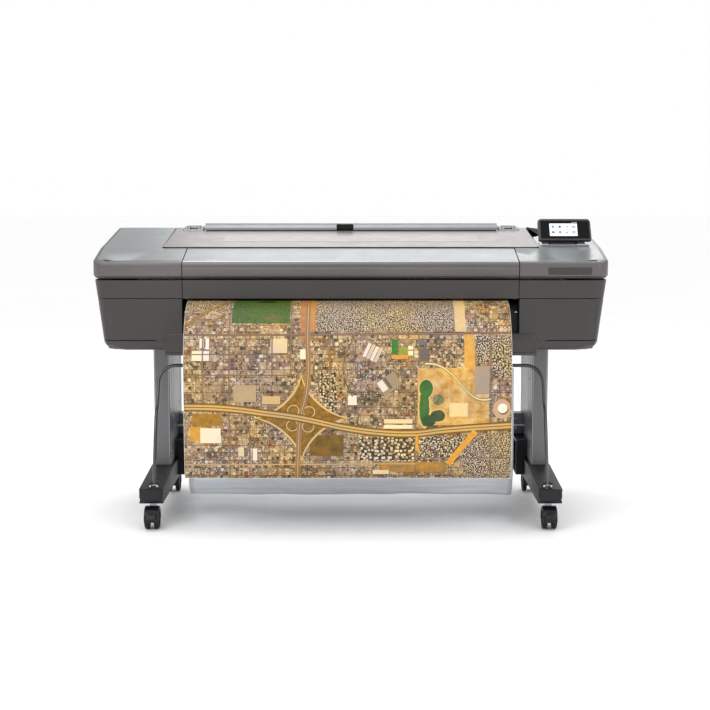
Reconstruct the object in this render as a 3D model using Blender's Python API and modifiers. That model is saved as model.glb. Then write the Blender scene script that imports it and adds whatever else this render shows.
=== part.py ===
"""Large format plotter on a castered stand: a 44-inch roll printer with a media basket.

Metres, +Z up, +X to the operator's right, front towards -Y. Shapes are written with Y = 0 at the
middle of the feet, and the empty "plotter_origin" moves the whole machine so that the world origin
is the bottom centre of its bounding box.
"""

import math

import bmesh
import bpy
from mathutils import Matrix, Vector

# ---------------------------------------------------------------- driving dimensions
GAP = 0.0003  # clearance between pieces that touch
WALL = 0.003  # moulded shell thickness

HALF_WIDTH = 0.901  # widest line of the end covers
SEAM_X = 0.588  # joint between an end and the middle
LID_HALF = 0.677
SKIRT_HALF = 0.652

BODY_BOTTOM = 0.620
DOOR_BOTTOM = 0.654
DOOR_TOP = 0.802
BAND_TOP = 0.8675  # top of the fascia, below the shadow groove
RIM_BOTTOM = 0.873

RIM_FRONT = -0.290
FASCIA_FRONT = -0.284
DOOR_FRONT = -0.280
BASE_FRONT = -0.270
BODY_REAR = 0.368

EDGE = (-0.272, 0.932)  # (Y, Z) of the rounded front edge of the top
CREASE = (-0.100, 0.970)  # where the top gets flatter and the lid starts
REAR_EDGE = (0.350, 1.0275)

MEDIA_WIDTH = 1.118  # a 44-inch roll
MEDIA_CENTRE_X = -0.010
MEDIA_X = (MEDIA_CENTRE_X - MEDIA_WIDTH / 2, MEDIA_CENTRE_X + MEDIA_WIDTH / 2)
MEDIA_TOP = 0.7966
PLATEN_TOP = 0.795
PRINT_THICK = 0.0008
PRINT_FRONT = -0.460
PRINT_BOTTOM = 0.198

RAIL = (0.030, 0.885)  # (Y, Z) of the round carriage rail
RAIL_RADIUS = 0.010
CHASSIS_HALF = 0.800
SIDE_PLATE_X = 0.660
BELT_Y = 0.067
BELT_Z = 0.855
PULLEY_RADIUS = 0.012
PULLEY_X = 0.760
FEED = (0.075, 0.7808)
FEED_RADIUS = 0.015
PINCH_RADIUS = 0.008
SPINDLE = (0.210, 0.870)
ROLL_RADIUS = 0.055

COLUMN_X = (0.666, 0.7235)
COLUMN_Y = (-0.033, 0.356)
FOOT_X = 0.695
FOOT_HALF_WIDTH = 0.041
FOOT_HALF_LENGTH = 0.383
FOOT_BOTTOM = 0.094
FOOT_TOP = 0.1655
FOOT_NOSE_TOP = 0.146
FOOT_HOLLOW_HALF = 0.290  # the foot is open from below between its solid ends

WHEEL_RADIUS = 0.0375
CASTER_TRAIL = 0.020
CASTER_Y = 0.325

BASKET_X = 0.685
BASKET_TUBE = 0.00625
BASKET_PIVOT = (-0.366, 0.1585)
BASKET_BAR = (-0.180, 0.555)
REAR_ROD = (0.200, 0.275)
FABRIC_HALF = 0.582

PANEL_X = 0.776
PANEL_HALF = 0.096
PANEL_PIVOT = (-0.028, 0.9935)
PANEL_LEAN = math.radians(36)

# The machine reaches from the print's front to the feet's rear.
SHIFT_Y = -(PRINT_FRONT + FOOT_HALF_LENGTH) / 2

DOOR_OUTER = 0.856
DOOR_BACK = -0.262
BAY_FLOOR = 0.664

# Cutters and the blocks they are shaped with reach past the machine as far as these.
BEYOND_FRONT = -0.5
BEYOND_REAR = 0.6
BEYOND_TOP = 1.2
BEYOND_SIDE = 1.0

WINDOW_HINGE = (CREASE[0] + 0.001, CREASE[1] + 0.0015)
LID_HINGE = (0.350, 1.0215)
ROLL_COVER_HINGE = (0.359, 1.011)
DOOR_HINGE = (DOOR_FRONT + 0.0035, DOOR_BOTTOM + 0.0027)

# ---------------------------------------------------------------- scene and materials
for old in list(bpy.data.objects):
    bpy.data.objects.remove(old, do_unlink=True)

parts = bpy.data.collections.new("large_format_plotter")
cutters = bpy.data.collections.new("cutters")
for collection in (parts, cutters):
    bpy.context.scene.collection.children.link(collection)
cutters.hide_render = True

origin = bpy.data.objects.new("plotter_origin", None)
origin.location = (0.0, SHIFT_Y, 0.0)
parts.objects.link(origin)

PALETTE = {
    "body_dark": ((0.075, 0.068, 0.066), 0.42, 0.1),
    "top_silver": ((0.36, 0.39, 0.40), 0.35, 0.5),
    "lid_bronze": ((0.42, 0.39, 0.38), 0.4, 0.4),
    "black_plastic": ((0.02, 0.02, 0.022), 0.45, 0.0),
    "stand_silver": ((0.33, 0.33, 0.34), 0.4, 0.4),
    "foot_dark": ((0.05, 0.05, 0.055), 0.5, 0.0),
    "steel": ((0.55, 0.55, 0.56), 0.3, 1.0),
    "aluminium": ((0.62, 0.63, 0.65), 0.35, 1.0),
    "rubber": ((0.03, 0.03, 0.03), 0.8, 0.0),
    "paper_roll": ((0.85, 0.85, 0.83), 0.8, 0.0),
    "print": ((0.55, 0.48, 0.35), 0.6, 0.0),
    "fabric": ((0.33, 0.35, 0.38), 0.9, 0.0),
    "screen": ((0.75, 0.82, 0.86), 0.15, 0.0),
    "ink_blue": ((0.05, 0.12, 0.25), 0.45, 0.0),
}


def material(name):
    """A Principled BSDF of its own for each piece."""
    colour, roughness, metallic = PALETTE[name]
    made = bpy.data.materials.new(name)
    made.use_nodes = True
    shader = made.node_tree.nodes["Principled BSDF"]
    shader.inputs["Base Color"].default_value = (*colour, 1.0)
    shader.inputs["Roughness"].default_value = roughness
    shader.inputs["Metallic"].default_value = metallic
    made.diffuse_color = (*colour, 1.0)
    return made


# ---------------------------------------------------------------- building blocks
def place(name, mesh, finish):
    """A mesh as a part, or as a cutter where it has no finish."""
    obj = bpy.data.objects.new(name, mesh)
    obj.parent = origin
    if finish is None:
        cutters.objects.link(obj)
        obj.hide_render = True
        obj.display_type = "WIRE"
    else:
        parts.objects.link(obj)
        mesh.materials.clear()
        mesh.materials.append(material(finish))
    return obj


def from_bmesh(name, bm, finish):
    bmesh.ops.recalc_face_normals(bm, faces=bm.faces)
    mesh = bpy.data.meshes.new(name)
    bm.to_mesh(mesh)
    bm.free()
    return place(name, mesh, finish)


def box(name, x, y, z, finish=None):
    """A box between the given pairs of coordinates."""
    bm = bmesh.new()
    bmesh.ops.create_cube(bm, size=1.0)
    low = Vector((min(x), min(y), min(z)))
    high = Vector((max(x), max(y), max(z)))
    bmesh.ops.scale(bm, vec=high - low, verts=bm.verts)
    bmesh.ops.translate(bm, vec=(low + high) / 2, verts=bm.verts)
    return from_bmesh(name, bm, finish)


def rod(name, start, end, radius, finish=None, sides=24):
    """A round bar from start to end."""
    start = Vector(start)
    run = Vector(end) - start
    bm = bmesh.new()
    bmesh.ops.create_cone(
        bm, cap_ends=True, segments=sides, radius1=radius, radius2=radius, depth=run.length
    )
    turn = run.to_track_quat("Z", "Y").to_matrix().to_4x4()
    bmesh.ops.transform(bm, matrix=Matrix.Translation(start + run / 2) @ turn, verts=bm.verts)
    obj = from_bmesh(name, bm, finish)
    smooth(obj)
    return obj


def smooth(obj):
    obj.data.shade_smooth()
    obj.data.set_sharp_from_angle(angle=math.radians(35))


def weld_curve(name, curve_obj, finish):
    """A curve turned into a closed mesh that Booleans and bevels can take."""
    bpy.context.view_layer.update()
    graph = bpy.context.evaluated_depsgraph_get()
    mesh = bpy.data.meshes.new_from_object(curve_obj.evaluated_get(graph))
    bm = bmesh.new()
    bm.from_mesh(mesh)
    bmesh.ops.remove_doubles(bm, verts=bm.verts, dist=0.00001)
    bm.to_mesh(mesh)
    bm.free()
    mesh.transform(curve_obj.matrix_world)
    bpy.data.objects.remove(curve_obj, do_unlink=True)
    return place(name, mesh, finish)


AXES = {
    "X": Matrix(((0, 0, 1), (1, 0, 0), (0, 1, 0))),  # outline (Y, Z), pushed along X
    "Y": Matrix(((1, 0, 0), (0, 0, -1), (0, 1, 0))),  # outline (X, Z), pushed along Y
    "Z": Matrix.Identity(3),  # outline (X, Y), pushed along Z
}


def plate(name, outline, along, reach, finish=None):
    """A flat outline given thickness between the two coordinates of reach on the axis along."""
    curve = bpy.data.curves.new(name, "CURVE")
    curve.dimensions = "2D"
    curve.fill_mode = "BOTH"
    curve.extrude = abs(reach[1] - reach[0]) / 2
    spline = curve.splines.new("POLY")
    spline.points.add(len(outline) - 1)
    for point, (u, v) in zip(spline.points, outline):
        point.co = (u, v, 0.0, 1.0)
    spline.use_cyclic_u = True
    obj = bpy.data.objects.new(name, curve)
    parts.objects.link(obj)
    middle = sum(reach) / 2
    offset = {"X": (middle, 0, 0), "Y": (0, middle, 0), "Z": (0, 0, middle)}[along]
    obj.matrix_world = Matrix.Translation(offset) @ AXES[along].to_4x4()
    return weld_curve(name, obj, finish)


def tube(name, points, radius, finish, resolution=2):
    """A bent tube along the given points."""
    curve = bpy.data.curves.new(name, "CURVE")
    curve.dimensions = "3D"
    curve.bevel_depth = radius
    curve.bevel_resolution = resolution
    curve.use_fill_caps = True
    spline = curve.splines.new("POLY")
    spline.points.add(len(points) - 1)
    for point, co in zip(spline.points, points):
        point.co = (*co, 1.0)
    obj = bpy.data.objects.new(name, curve)
    parts.objects.link(obj)
    made = weld_curve(name, obj, finish)
    smooth(made)
    return made


def boolean(target, other, operation):
    modifier = target.modifiers.new(f"{operation.lower()}_{other.name}", "BOOLEAN")
    modifier.operation = operation
    modifier.object = other
    modifier.solver = "EXACT"


def cut(target, *others):
    for other in others:
        boolean(target, other, "DIFFERENCE")


def join(target, *others):
    """Unites helper solids with a part."""
    for other in others:
        boolean(target, other, "UNION")


def round_edges(obj, picks, width, segments=3):
    """Bevels the edges whose two ends both satisfy picks(co)."""
    bm = bmesh.new()
    bm.from_mesh(obj.data)
    weight = bm.edges.layers.float.new("bevel_weight_edge")
    for edge in bm.edges:
        if all(picks(vert.co) for vert in edge.verts):
            edge[weight] = 1.0
    bm.to_mesh(obj.data)
    bm.free()
    modifier = obj.modifiers.new("round", "BEVEL")
    modifier.width = width
    modifier.segments = segments
    modifier.limit_method = "WEIGHT"


def soften(obj, width, segments=2, degrees=30):
    """A small round on every corner sharper than the given angle."""
    modifier = obj.modifiers.new("soften", "BEVEL")
    modifier.width = width
    modifier.segments = segments
    modifier.limit_method = "ANGLE"
    modifier.angle_limit = math.radians(degrees)


def pivot(name, location):
    """An empty on a joint's axis. The pieces hung on it keep their places."""
    empty = bpy.data.objects.new(name, None)
    empty.location = location
    empty.parent = origin
    empty.empty_display_size = 0.03
    parts.objects.link(empty)
    return empty


def hang(empty, *pieces):
    for piece in pieces:
        piece.parent = empty
        piece.location = -Vector(empty.location)


def span(side, inner, outer):
    """The X range of a piece on one side, side being -1 on the left and 1 on the right."""
    return (side * inner, side * outer)


SIDES = (("left", -1), ("right", 1))


# ---------------------------------------------------------------- outlines
def arc(centre, radius, start, end, steps=4):
    """Points on a quarter or so of a circle or ellipse, angles in degrees."""
    rx, ry = radius if isinstance(radius, tuple) else (radius, radius)
    angles = [math.radians(start + (end - start) * i / steps) for i in range(steps + 1)]
    return [(centre[0] + rx * math.cos(a), centre[1] + ry * math.sin(a)) for a in angles]


def inset(outline, distance):
    """The same convex outline with each side moved inwards."""
    area = sum(a[0] * b[1] - b[0] * a[1] for a, b in zip(outline, outline[1:] + outline[:1]))
    turn = math.copysign(1.0, area)
    lines = []
    for a, b in zip(outline, outline[1:] + outline[:1]):
        run = Vector((b[0] - a[0], b[1] - a[1])).normalized()
        normal = Vector((-run.y, run.x)) * turn
        lines.append((normal, normal.dot(Vector(a)) + distance))
    moved = []
    for (n0, d0), (n1, d1) in zip(lines[-1:] + lines[:-1], lines):
        det = n0.x * n1.y - n0.y * n1.x
        moved.append(((d0 * n1.y - d1 * n0.y) / det, (n0.x * d1 - n1.x * d0) / det))
    return moved


def stretched(outline, axis, limit, to):
    """The outline with its points below limit on that axis moved to the value to."""
    return [
        tuple(to if i == axis and value < limit else value for i, value in enumerate(point))
        for point in outline
    ]


TOP_SLOPE = (REAR_EDGE[1] - CREASE[1]) / (REAR_EDGE[0] - CREASE[0])


def top_z(y):
    """Height of the flat of the top at that Y, behind the crease."""
    return CREASE[1] + (y - CREASE[0]) * TOP_SLOPE


FRONT_RADIUS = 0.045
REAR_RADIUS = 0.030
END_START = 0.40  # the outlines of an end start well inside its joint with the middle
PLAN = (
    [(END_START, RIM_FRONT)]
    + arc((HALF_WIDTH - FRONT_RADIUS, RIM_FRONT + FRONT_RADIUS), FRONT_RADIUS, -90, 0)
    + arc((HALF_WIDTH - REAR_RADIUS, BODY_REAR - REAR_RADIUS), REAR_RADIUS, 0, 90, 3)
    + [(END_START, BODY_REAR)]
)
COVER_PROFILE = [
    (RIM_FRONT + 0.008, RIM_BOTTOM),
    (BODY_REAR, RIM_BOTTOM),
    (BODY_REAR, 1.014),
    REAR_EDGE,
    CREASE,
    EDGE,
    (RIM_FRONT + 0.005, EDGE[1] - 0.003),
    (RIM_FRONT, EDGE[1] - 0.012),
    (RIM_FRONT, RIM_BOTTOM + 0.010),
]
BODY_PROFILE = [
    (BASE_FRONT + 0.014, BODY_BOTTOM),
    (BODY_REAR - 0.020, BODY_BOTTOM),
    (BODY_REAR, BODY_BOTTOM + 0.020),
    (BODY_REAR, BAND_TOP),
    (FASCIA_FRONT, BAND_TOP),
    (DOOR_FRONT, DOOR_TOP),
    (DOOR_FRONT + 0.002, DOOR_BOTTOM),
    (BASE_FRONT - 0.003, BODY_BOTTOM + 0.014),
]
BODY_CORNER = (0.046, 0.034)  # half axes of the bottom corner seen from the front
BODY_FRONT_VIEW = (
    [(END_START, BODY_BOTTOM)]
    + arc((0.824, BODY_BOTTOM + BODY_CORNER[1]), BODY_CORNER, -90, 0, 4)
    + [(HALF_WIDTH - 0.004, BAND_TOP), (END_START, BAND_TOP)]
)


def mirrored(outline, side):
    return [(side * x, z) for x, z in outline]


def casing(name, side, profile, front_view, inner_x, finish, deeper=0.0, opened=None):
    """The common volume of a side profile, the plan and a front view, cut off at inner_x.

    deeper insets all three, and opened lets the inset one run out through the bottom or the top.
    """

    def shaped(outline, opens=True):
        if deeper:
            outline = inset(outline, deeper)
        return opened(outline) if opened and opens else outline

    solid = plate(name, shaped(profile), "X", span(side, inner_x, BEYOND_SIDE), finish)
    heights = (BODY_BOTTOM - 0.1, BEYOND_TOP)
    views = [plate(name + "_plan", mirrored(shaped(PLAN, False), side), "Z", heights)]
    if front_view:
        depths = (BEYOND_FRONT, BEYOND_REAR)
        views.append(plate(name + "_view", mirrored(shaped(front_view), side), "Y", depths))
    for view in views:
        boolean(solid, view, "INTERSECT")
    return solid


# ---------------------------------------------------------------- ends of the body
def open_bottom(outline):
    return stretched(outline, 1, RIM_BOTTOM + 3 * WALL, RIM_BOTTOM - 0.02)


def open_top(outline):
    return [(u, BAND_TOP + 0.03 if v > BAND_TOP - 3 * WALL else v) for u, v in outline]


def top_cover(word, side):
    cover = casing(word + "_top_cover", side, COVER_PROFILE, None, SEAM_X, "top_silver")
    inside = SEAM_X - 0.02
    name = word + "_cover_hollow"
    hollow = casing(name, side, COVER_PROFILE, None, inside, None, WALL, open_bottom)
    lid_bay = box(
        word + "_lid_bay",
        span(side, 0, LID_HALF + 0.001),
        (CREASE[0] - 0.0005, BEYOND_REAR),
        (BODY_BOTTOM, BEYOND_TOP),
    )
    cut(cover, hollow, lid_bay)


def end_housing(word, side):
    shape = (BODY_PROFILE, BODY_FRONT_VIEW)
    housing = casing(word + "_end_housing", side, *shape, SEAM_X, "body_dark")
    hollow = casing(word + "_housing_hollow", side, *shape, SEAM_X + WALL, None, WALL, open_top)
    skirt_bay = box(
        word + "_skirt_bay",
        span(side, 0, SKIRT_HALF + 2 * GAP),
        (BEYOND_FRONT, SKIRT_REAR + 0.001),
        (0.5, SKIRT_TOP + 2 * GAP),
    )
    carriage_way = box(
        word + "_carriage_way",
        span(side, 0.5, SEAM_X + 0.01),
        (-0.12, 0.30),
        (0.765, BEYOND_TOP),
    )
    doorway = box(
        word + "_doorway",
        span(side, 0.5, DOOR_OUTER + GAP),
        (BEYOND_FRONT, DOOR_BACK),
        (DOOR_BOTTOM - GAP, DOOR_TOP + GAP),
    )
    cut(housing, hollow, skirt_bay, carriage_way, doorway)


def ink_door(word, side):
    shape = (BODY_PROFILE, BODY_FRONT_VIEW)
    door = casing(word + "_ink_door", side, *shape, SEAM_X, "body_dark")
    back = casing(word + "_door_back", side, *shape, END_START, None, WALL)
    leaf = box(
        word + "_door_leaf",
        span(side, SEAM_X + GAP, DOOR_OUTER),
        (BEYOND_FRONT, DOOR_BACK),
        (DOOR_BOTTOM + 0.001, DOOR_TOP - GAP),
    )
    notch = box(
        word + "_door_notch",
        span(side, 0, SKIRT_HALF + 4 * GAP),
        (BEYOND_FRONT, 0.0),
        (0.5, SKIRT_TOP + 4 * GAP),
    )
    boolean(door, leaf, "INTERSECT")
    cut(door, back, notch)
    hang(pivot(word + "_ink_door_hinge", (side * 0.72, *DOOR_HINGE)), door)


def ink_bay(word, side):
    """The block that holds the cartridges, standing on the floor of the housing."""
    inner, outer = 0.664, 0.848
    cartridges = 3
    bay_front = DOOR_BACK
    reach = span(side, inner, outer)
    bay = box(word + "_ink_bay", reach, (bay_front, -0.150), (BAY_FLOOR, 0.792), "ink_blue")
    for i in range(cartridges):
        middle = inner + (outer - inner) * (i + 0.5) / cartridges
        slot = box(
            f"{word}_cartridge_gap_{i}",
            span(side, middle - 0.0265, middle + 0.0265),
            (BEYOND_FRONT, bay_front + 0.017),
            (BAY_FLOOR + 0.008, 0.784),
        )
        cut(bay, slot)
    leg = box(
        word + "_bay_leg",
        span(side, 0.700, 0.800),
        (-0.24, -0.17),
        (BODY_BOTTOM + WALL + 0.0005, BAY_FLOOR + 0.006),
    )
    join(bay, leg)


SKIRT_TOP = 0.678
SKIRT_REAR = -0.120
for word, side in SIDES:
    top_cover(word, side)
    end_housing(word, side)
    ink_door(word, side)
    ink_bay(word, side)

# ---------------------------------------------------------------- middle of the body
MIDDLE = (-(SEAM_X - 0.001), SEAM_X - 0.001)

FASCIA_REAR = -0.200
fascia_outline = [
    (FASCIA_REAR, DOOR_TOP + GAP),
    (DOOR_FRONT, DOOR_TOP + GAP),
    (FASCIA_FRONT, BAND_TOP),
    (FASCIA_REAR, BAND_TOP),
    (FASCIA_REAR, BAND_TOP - WALL),
    (FASCIA_FRONT + WALL, BAND_TOP - WALL),
    (DOOR_FRONT + WALL, DOOR_TOP + WALL),
    (FASCIA_REAR, DOOR_TOP + WALL),
]
plate("centre_fascia", fascia_outline, "X", MIDDLE, "body_dark")

window_outer = [
    (CREASE[0] - 0.0004, CREASE[1]),
    EDGE,
    (RIM_FRONT + 0.005, EDGE[1] - 0.003),
    (RIM_FRONT, EDGE[1] - 0.012),
    (RIM_FRONT, RIM_BOTTOM + 0.010),
    (RIM_FRONT + 0.008, RIM_BOTTOM),
]
window_inner = [
    (RIM_FRONT + 0.011, RIM_BOTTOM),
    (RIM_FRONT + WALL, RIM_BOTTOM + 0.012),
    (RIM_FRONT + WALL, EDGE[1] - 0.0135),
    (RIM_FRONT + 0.008, EDGE[1] - 0.006),
    (EDGE[0] + 0.001, EDGE[1] - 0.0032),
    (CREASE[0] - 0.0004, CREASE[1] - 0.0033),
]
window = plate("front_window", window_outer + window_inner, "X", MIDDLE, "top_silver")
hang(pivot("front_window_hinge", (0, *WINDOW_HINGE)), window)

LID_FRONT = CREASE[0] + 0.0015
LID_REAR = 0.2755
LID_THICK = 0.004
LID_LIP = 0.010
lid = plate(
    "top_lid",
    [
        (LID_FRONT, top_z(LID_FRONT) - LID_LIP),
        (LID_FRONT, top_z(LID_FRONT)),
        (LID_REAR, top_z(LID_REAR)),
        (LID_REAR, top_z(LID_REAR) - LID_THICK),
        (LID_FRONT + LID_THICK, top_z(LID_FRONT) - LID_THICK),
        (LID_FRONT + LID_THICK, top_z(LID_FRONT) - LID_LIP),
    ],
    "X",
    (-LID_HALF, LID_HALF),
    "lid_bronze",
)
EAR_FRONT = LID_REAR - 0.02
EAR_REAR = 0.356
EAR_THICK = 0.006
ear_outline = [
    (EAR_FRONT, top_z(EAR_FRONT) - 0.0002),
    (EAR_REAR, top_z(EAR_REAR)),
    (EAR_REAR, top_z(EAR_REAR) - EAR_THICK),
    (EAR_FRONT, top_z(EAR_FRONT) - EAR_THICK),
]
for word, side in SIDES:
    join(lid, plate(word + "_lid_ear", ear_outline, "X", span(side, 0.645, LID_HALF - 0.0001)))
hang(pivot("top_lid_hinge", (0, *LID_HINGE)), lid)

ROLL_COVER_HALF = 0.564
roll_cover_outer = [
    (0.3615, 1.0065),
    (0.3615, 1.038),
    (0.357, 1.044),
    (0.345, 1.0455),
    (0.296, 1.037),
    (0.285, 1.030),
    (0.284, 1.0205),
]
roll_cover = plate(
    "rear_roll_cover",
    roll_cover_outer
    + [
        (0.287, 1.0205),
        (0.288, 1.028),
        (0.297, 1.034),
        (0.345, 1.0425),
        (0.355, 1.0415),
        (0.3585, 1.037),
        (0.3585, 1.0065),
    ],
    "X",
    (-ROLL_COVER_HALF, ROLL_COVER_HALF),
    "stand_silver",
)
LATCH_X = (-0.055, 0.008)
latch_bay = box(
    "latch_bay", (LATCH_X[0] - 2 * GAP, LATCH_X[1] + 2 * GAP), (0.20, 0.3205), (1.0, BEYOND_TOP)
)
cut(roll_cover, latch_bay)
latch = box("roll_cover_latch", LATCH_X, (0.2835, 0.3198), (1.0225, 1.0435), "black_plastic")
soften(latch, 0.003)
hang(pivot("rear_roll_cover_hinge", (0, *ROLL_COVER_HINGE)), roll_cover, latch)

guide_outline = [
    (0.288, 1.000),
    (0.357, 1.000),
    (0.357, 1.022),
    (0.338, 1.034),
    (0.310, 1.030),
    (0.288, 1.018),
]
for word, side in SIDES:
    reach = span(side, 0.568, 0.642)
    guide = plate(word + "_roll_guide", guide_outline, "X", reach, "lid_bronze")
    hollow = box(word + "_guide_hollow", span(side, 0.576, 0.634), (0.296, 0.349), (0.90, 1.014))
    web = box(word + "_guide_slot", span(side, 0.590, 0.620), (0.300, 0.345), (1.012, 1.10))
    cut(guide, hollow, web)

SKIRT_RADIUS = 0.028
SKIRT_FRONT = -0.276
skirt_corner = (SKIRT_HALF - SKIRT_RADIUS, SKIRT_TOP - SKIRT_RADIUS)
skirt_outline = (
    [(-0.622, 0.604), (0.622, 0.604), (SKIRT_HALF, 0.612)]
    + arc(skirt_corner, SKIRT_RADIUS, 0, 90)
    + arc((-skirt_corner[0], skirt_corner[1]), SKIRT_RADIUS, 90, 180)
    + [(-SKIRT_HALF, 0.612)]
)
skirt = plate("centre_skirt", skirt_outline, "Y", (SKIRT_FRONT, SKIRT_REAR), "body_dark")
skirt_hollow = plate(
    "skirt_hollow", inset(skirt_outline, WALL), "Y", (SKIRT_FRONT + WALL, BEYOND_REAR)
)
cut(skirt, skirt_hollow)

PLATEN_THICK = 0.010
platen_outline = [
    (0.055, PLATEN_TOP),
    (-0.190, PLATEN_TOP),
    (-0.235, 0.781),
    (-0.256, 0.747),
    (-0.259, 0.6785),
    (-0.255, 0.6785),
    (-0.252, 0.745),
    (-0.232, 0.776),
    (-0.190, PLATEN_TOP - PLATEN_THICK),
    (0.055, PLATEN_TOP - PLATEN_THICK),
]
plate("platen", platen_outline, "X", MIDDLE, "black_plastic")

PANEL_STEP = 0.870  # above this the rear panel is as wide as the lid
half_back = [(MIDDLE[1], 0.6245), (MIDDLE[1], PANEL_STEP), (LID_HALF, PANEL_STEP), (LID_HALF, 1.004)]
back_outline = half_back + mirrored(reversed(half_back), -1)
plate("rear_panel", back_outline, "Y", (0.3625, 0.3665), "body_dark")
box("bottom_pan", MIDDLE, (SKIRT_REAR + 0.0005, 0.362), (0.6205, 0.6240), "steel")

# ---------------------------------------------------------------- print engine
SPINDLE_BORE = 0.0131
side_plate_outline = [
    (-0.115, 0.630),
    (0.300, 0.630),
    (0.300, 0.940),
    (0.240, 0.955),
    (-0.060, 0.955),
    (-0.115, 0.900),
]
for word, side in SIDES:
    reach = span(side, SIDE_PLATE_X, SIDE_PLATE_X + WALL)
    side_plate = plate(word + "_side_plate", side_plate_outline, "X", reach, "steel")
    near, far = span(side, 0.60, 0.72)
    carriage_gap = box(word + "_carriage_gap", (near, far), (-0.095, 0.0788), (0.7985, 0.940))
    beam_hole = box(word + "_beam_hole", (near, far), (0.0795, 0.1245), (0.8195, 0.9305))
    feed_hole = rod(word + "_feed_hole", (near, *FEED), (far, *FEED), 0.0065, None, 20)
    spindle_hole = rod(
        word + "_spindle_hole", (near, *SPINDLE), (far, *SPINDLE), SPINDLE_BORE, None, 24
    )
    spindle_slot = box(
        word + "_spindle_slot",
        (near, far),
        (SPINDLE[0] - SPINDLE_BORE, SPINDLE[0] + SPINDLE_BORE),
        (SPINDLE[1], BEYOND_TOP),
    )
    cut(side_plate, carriage_gap, beam_hole, feed_hole, spindle_hole, spindle_slot)

BEAM_Y = (0.080, 0.124)
BEAM_Z = (0.820, 0.930)
beam_outline = [
    (BEAM_Y[0], BEAM_Z[0]),
    (BEAM_Y[1], BEAM_Z[0]),
    (BEAM_Y[1], BEAM_Z[1]),
    (BEAM_Y[0], BEAM_Z[1]),
    (BEAM_Y[0], BEAM_Z[1] - WALL),
    (BEAM_Y[1] - WALL, BEAM_Z[1] - WALL),
    (BEAM_Y[1] - WALL, BEAM_Z[0] + WALL),
    (BEAM_Y[0], BEAM_Z[0] + WALL),
]
main_beam = plate("main_beam", beam_outline, "X", (-CHASSIS_HALF, CHASSIS_HALF), "steel")
RAIL_HALF = 0.795
for word, side in SIDES:
    reach = span(side, RAIL_HALF - 0.013, CHASSIS_HALF)
    carrier = box(word + "_rail_carrier", reach, (0.016, BEAM_Y[1] - 0.002), (0.868, 0.902))
    join(main_beam, carrier)
    near, far = span(side, RAIL_HALF - 0.025, RAIL_HALF + 0.0005)
    rail_seat = rod(word + "_rail_seat", (near, *RAIL), (far, *RAIL), RAIL_RADIUS + GAP, None, 20)
    cut(main_beam, rail_seat)
rod("carriage_rail", (-RAIL_HALF, *RAIL), (RAIL_HALF, *RAIL), RAIL_RADIUS, "steel", 20)

CARRIAGE_HALF = 0.080
CARRIAGE_Y = (-0.078, 0.058)
CARRIAGE_Z = (0.822, 0.924)
carriage_x = (-CARRIAGE_HALF, CARRIAGE_HALF)
carriage = box("print_carriage", carriage_x, CARRIAGE_Y, CARRIAGE_Z, "black_plastic")
rail_bore = rod("rail_bore", (-0.2, *RAIL), (0.2, *RAIL), RAIL_RADIUS + 0.0005, None, 20)
ink_well = box("ink_well", (-0.066, 0.066), (-0.066, 0.008), (0.850, 1.0))
cut(carriage, rail_bore, ink_well)
head_z = (0.8025, CARRIAGE_Z[0] - GAP)
printhead = box("printhead_block", (-0.068, 0.068), (-0.066, 0.020), head_z, "ink_blue")
nozzle_relief = box("nozzle_relief", (-0.2, 0.2), (-0.030, -0.014), (0.79, 0.808))
cut(printhead, nozzle_relief)
hang(pivot("carriage_slide", (0, *RAIL)), carriage, printhead)


def belt_loop(radius):
    """A flat loop of belt round both pulleys, in the X-Z plane."""
    right = arc((PULLEY_X, BELT_Z), radius, -90, 90, 8)
    left = arc((-PULLEY_X, BELT_Z), radius, 90, 270, 8)
    return right + left


BELT_THICK = 0.0015
belt_outline = belt_loop(PULLEY_RADIUS + GAP + BELT_THICK)
belt = plate("carriage_belt", belt_outline, "Y", (BELT_Y - 0.003, BELT_Y + 0.003), "rubber")
belt_inside = plate("belt_inside", belt_loop(PULLEY_RADIUS + GAP), "Y", (0.0, 0.1))
cut(belt, belt_inside)
for name, side in (("drive_pulley", 1), ("idler_pulley", -1)):
    wheel = rod(
        name,
        (side * PULLEY_X, BELT_Y - 0.0038, BELT_Z),
        (side * PULLEY_X, BELT_Y + 0.0038, BELT_Z),
        PULLEY_RADIUS,
        "aluminium",
        20,
    )
    hub = rod(
        name + "_shaft",
        (side * PULLEY_X, BELT_Y + 0.002, BELT_Z),
        (side * PULLEY_X, BELT_Y + 0.0255, BELT_Z),
        0.003,
        None,
        12,
    )
    join(wheel, hub)
    hang(pivot(name + "_axis", (side * PULLEY_X, BELT_Y, BELT_Z)), wheel)
rod("carriage_motor", (PULLEY_X, 0.0932, BELT_Z), (PULLEY_X, 0.1192, BELT_Z), 0.021, "steel")

roller_end = SIDE_PLATE_X + 0.012
feed = rod("feed_roller", (-0.578, *FEED), (0.578, *FEED), FEED_RADIUS, "rubber", 20)
feed_shaft = rod("feed_shaft", (-roller_end, *FEED), (roller_end, *FEED), 0.006, None, 20)
join(feed, feed_shaft)
hang(pivot("feed_roller_axis", (0, *FEED)), feed)

PINCH = (FEED[0], FEED[1] + FEED_RADIUS + PINCH_RADIUS + 0.0018)
pinch = rod("pinch_roller", (-0.560, *PINCH), (0.560, *PINCH), PINCH_RADIUS, "rubber", 16)
hang(pivot("pinch_roller_axis", (0, *PINCH)), pinch)

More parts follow.
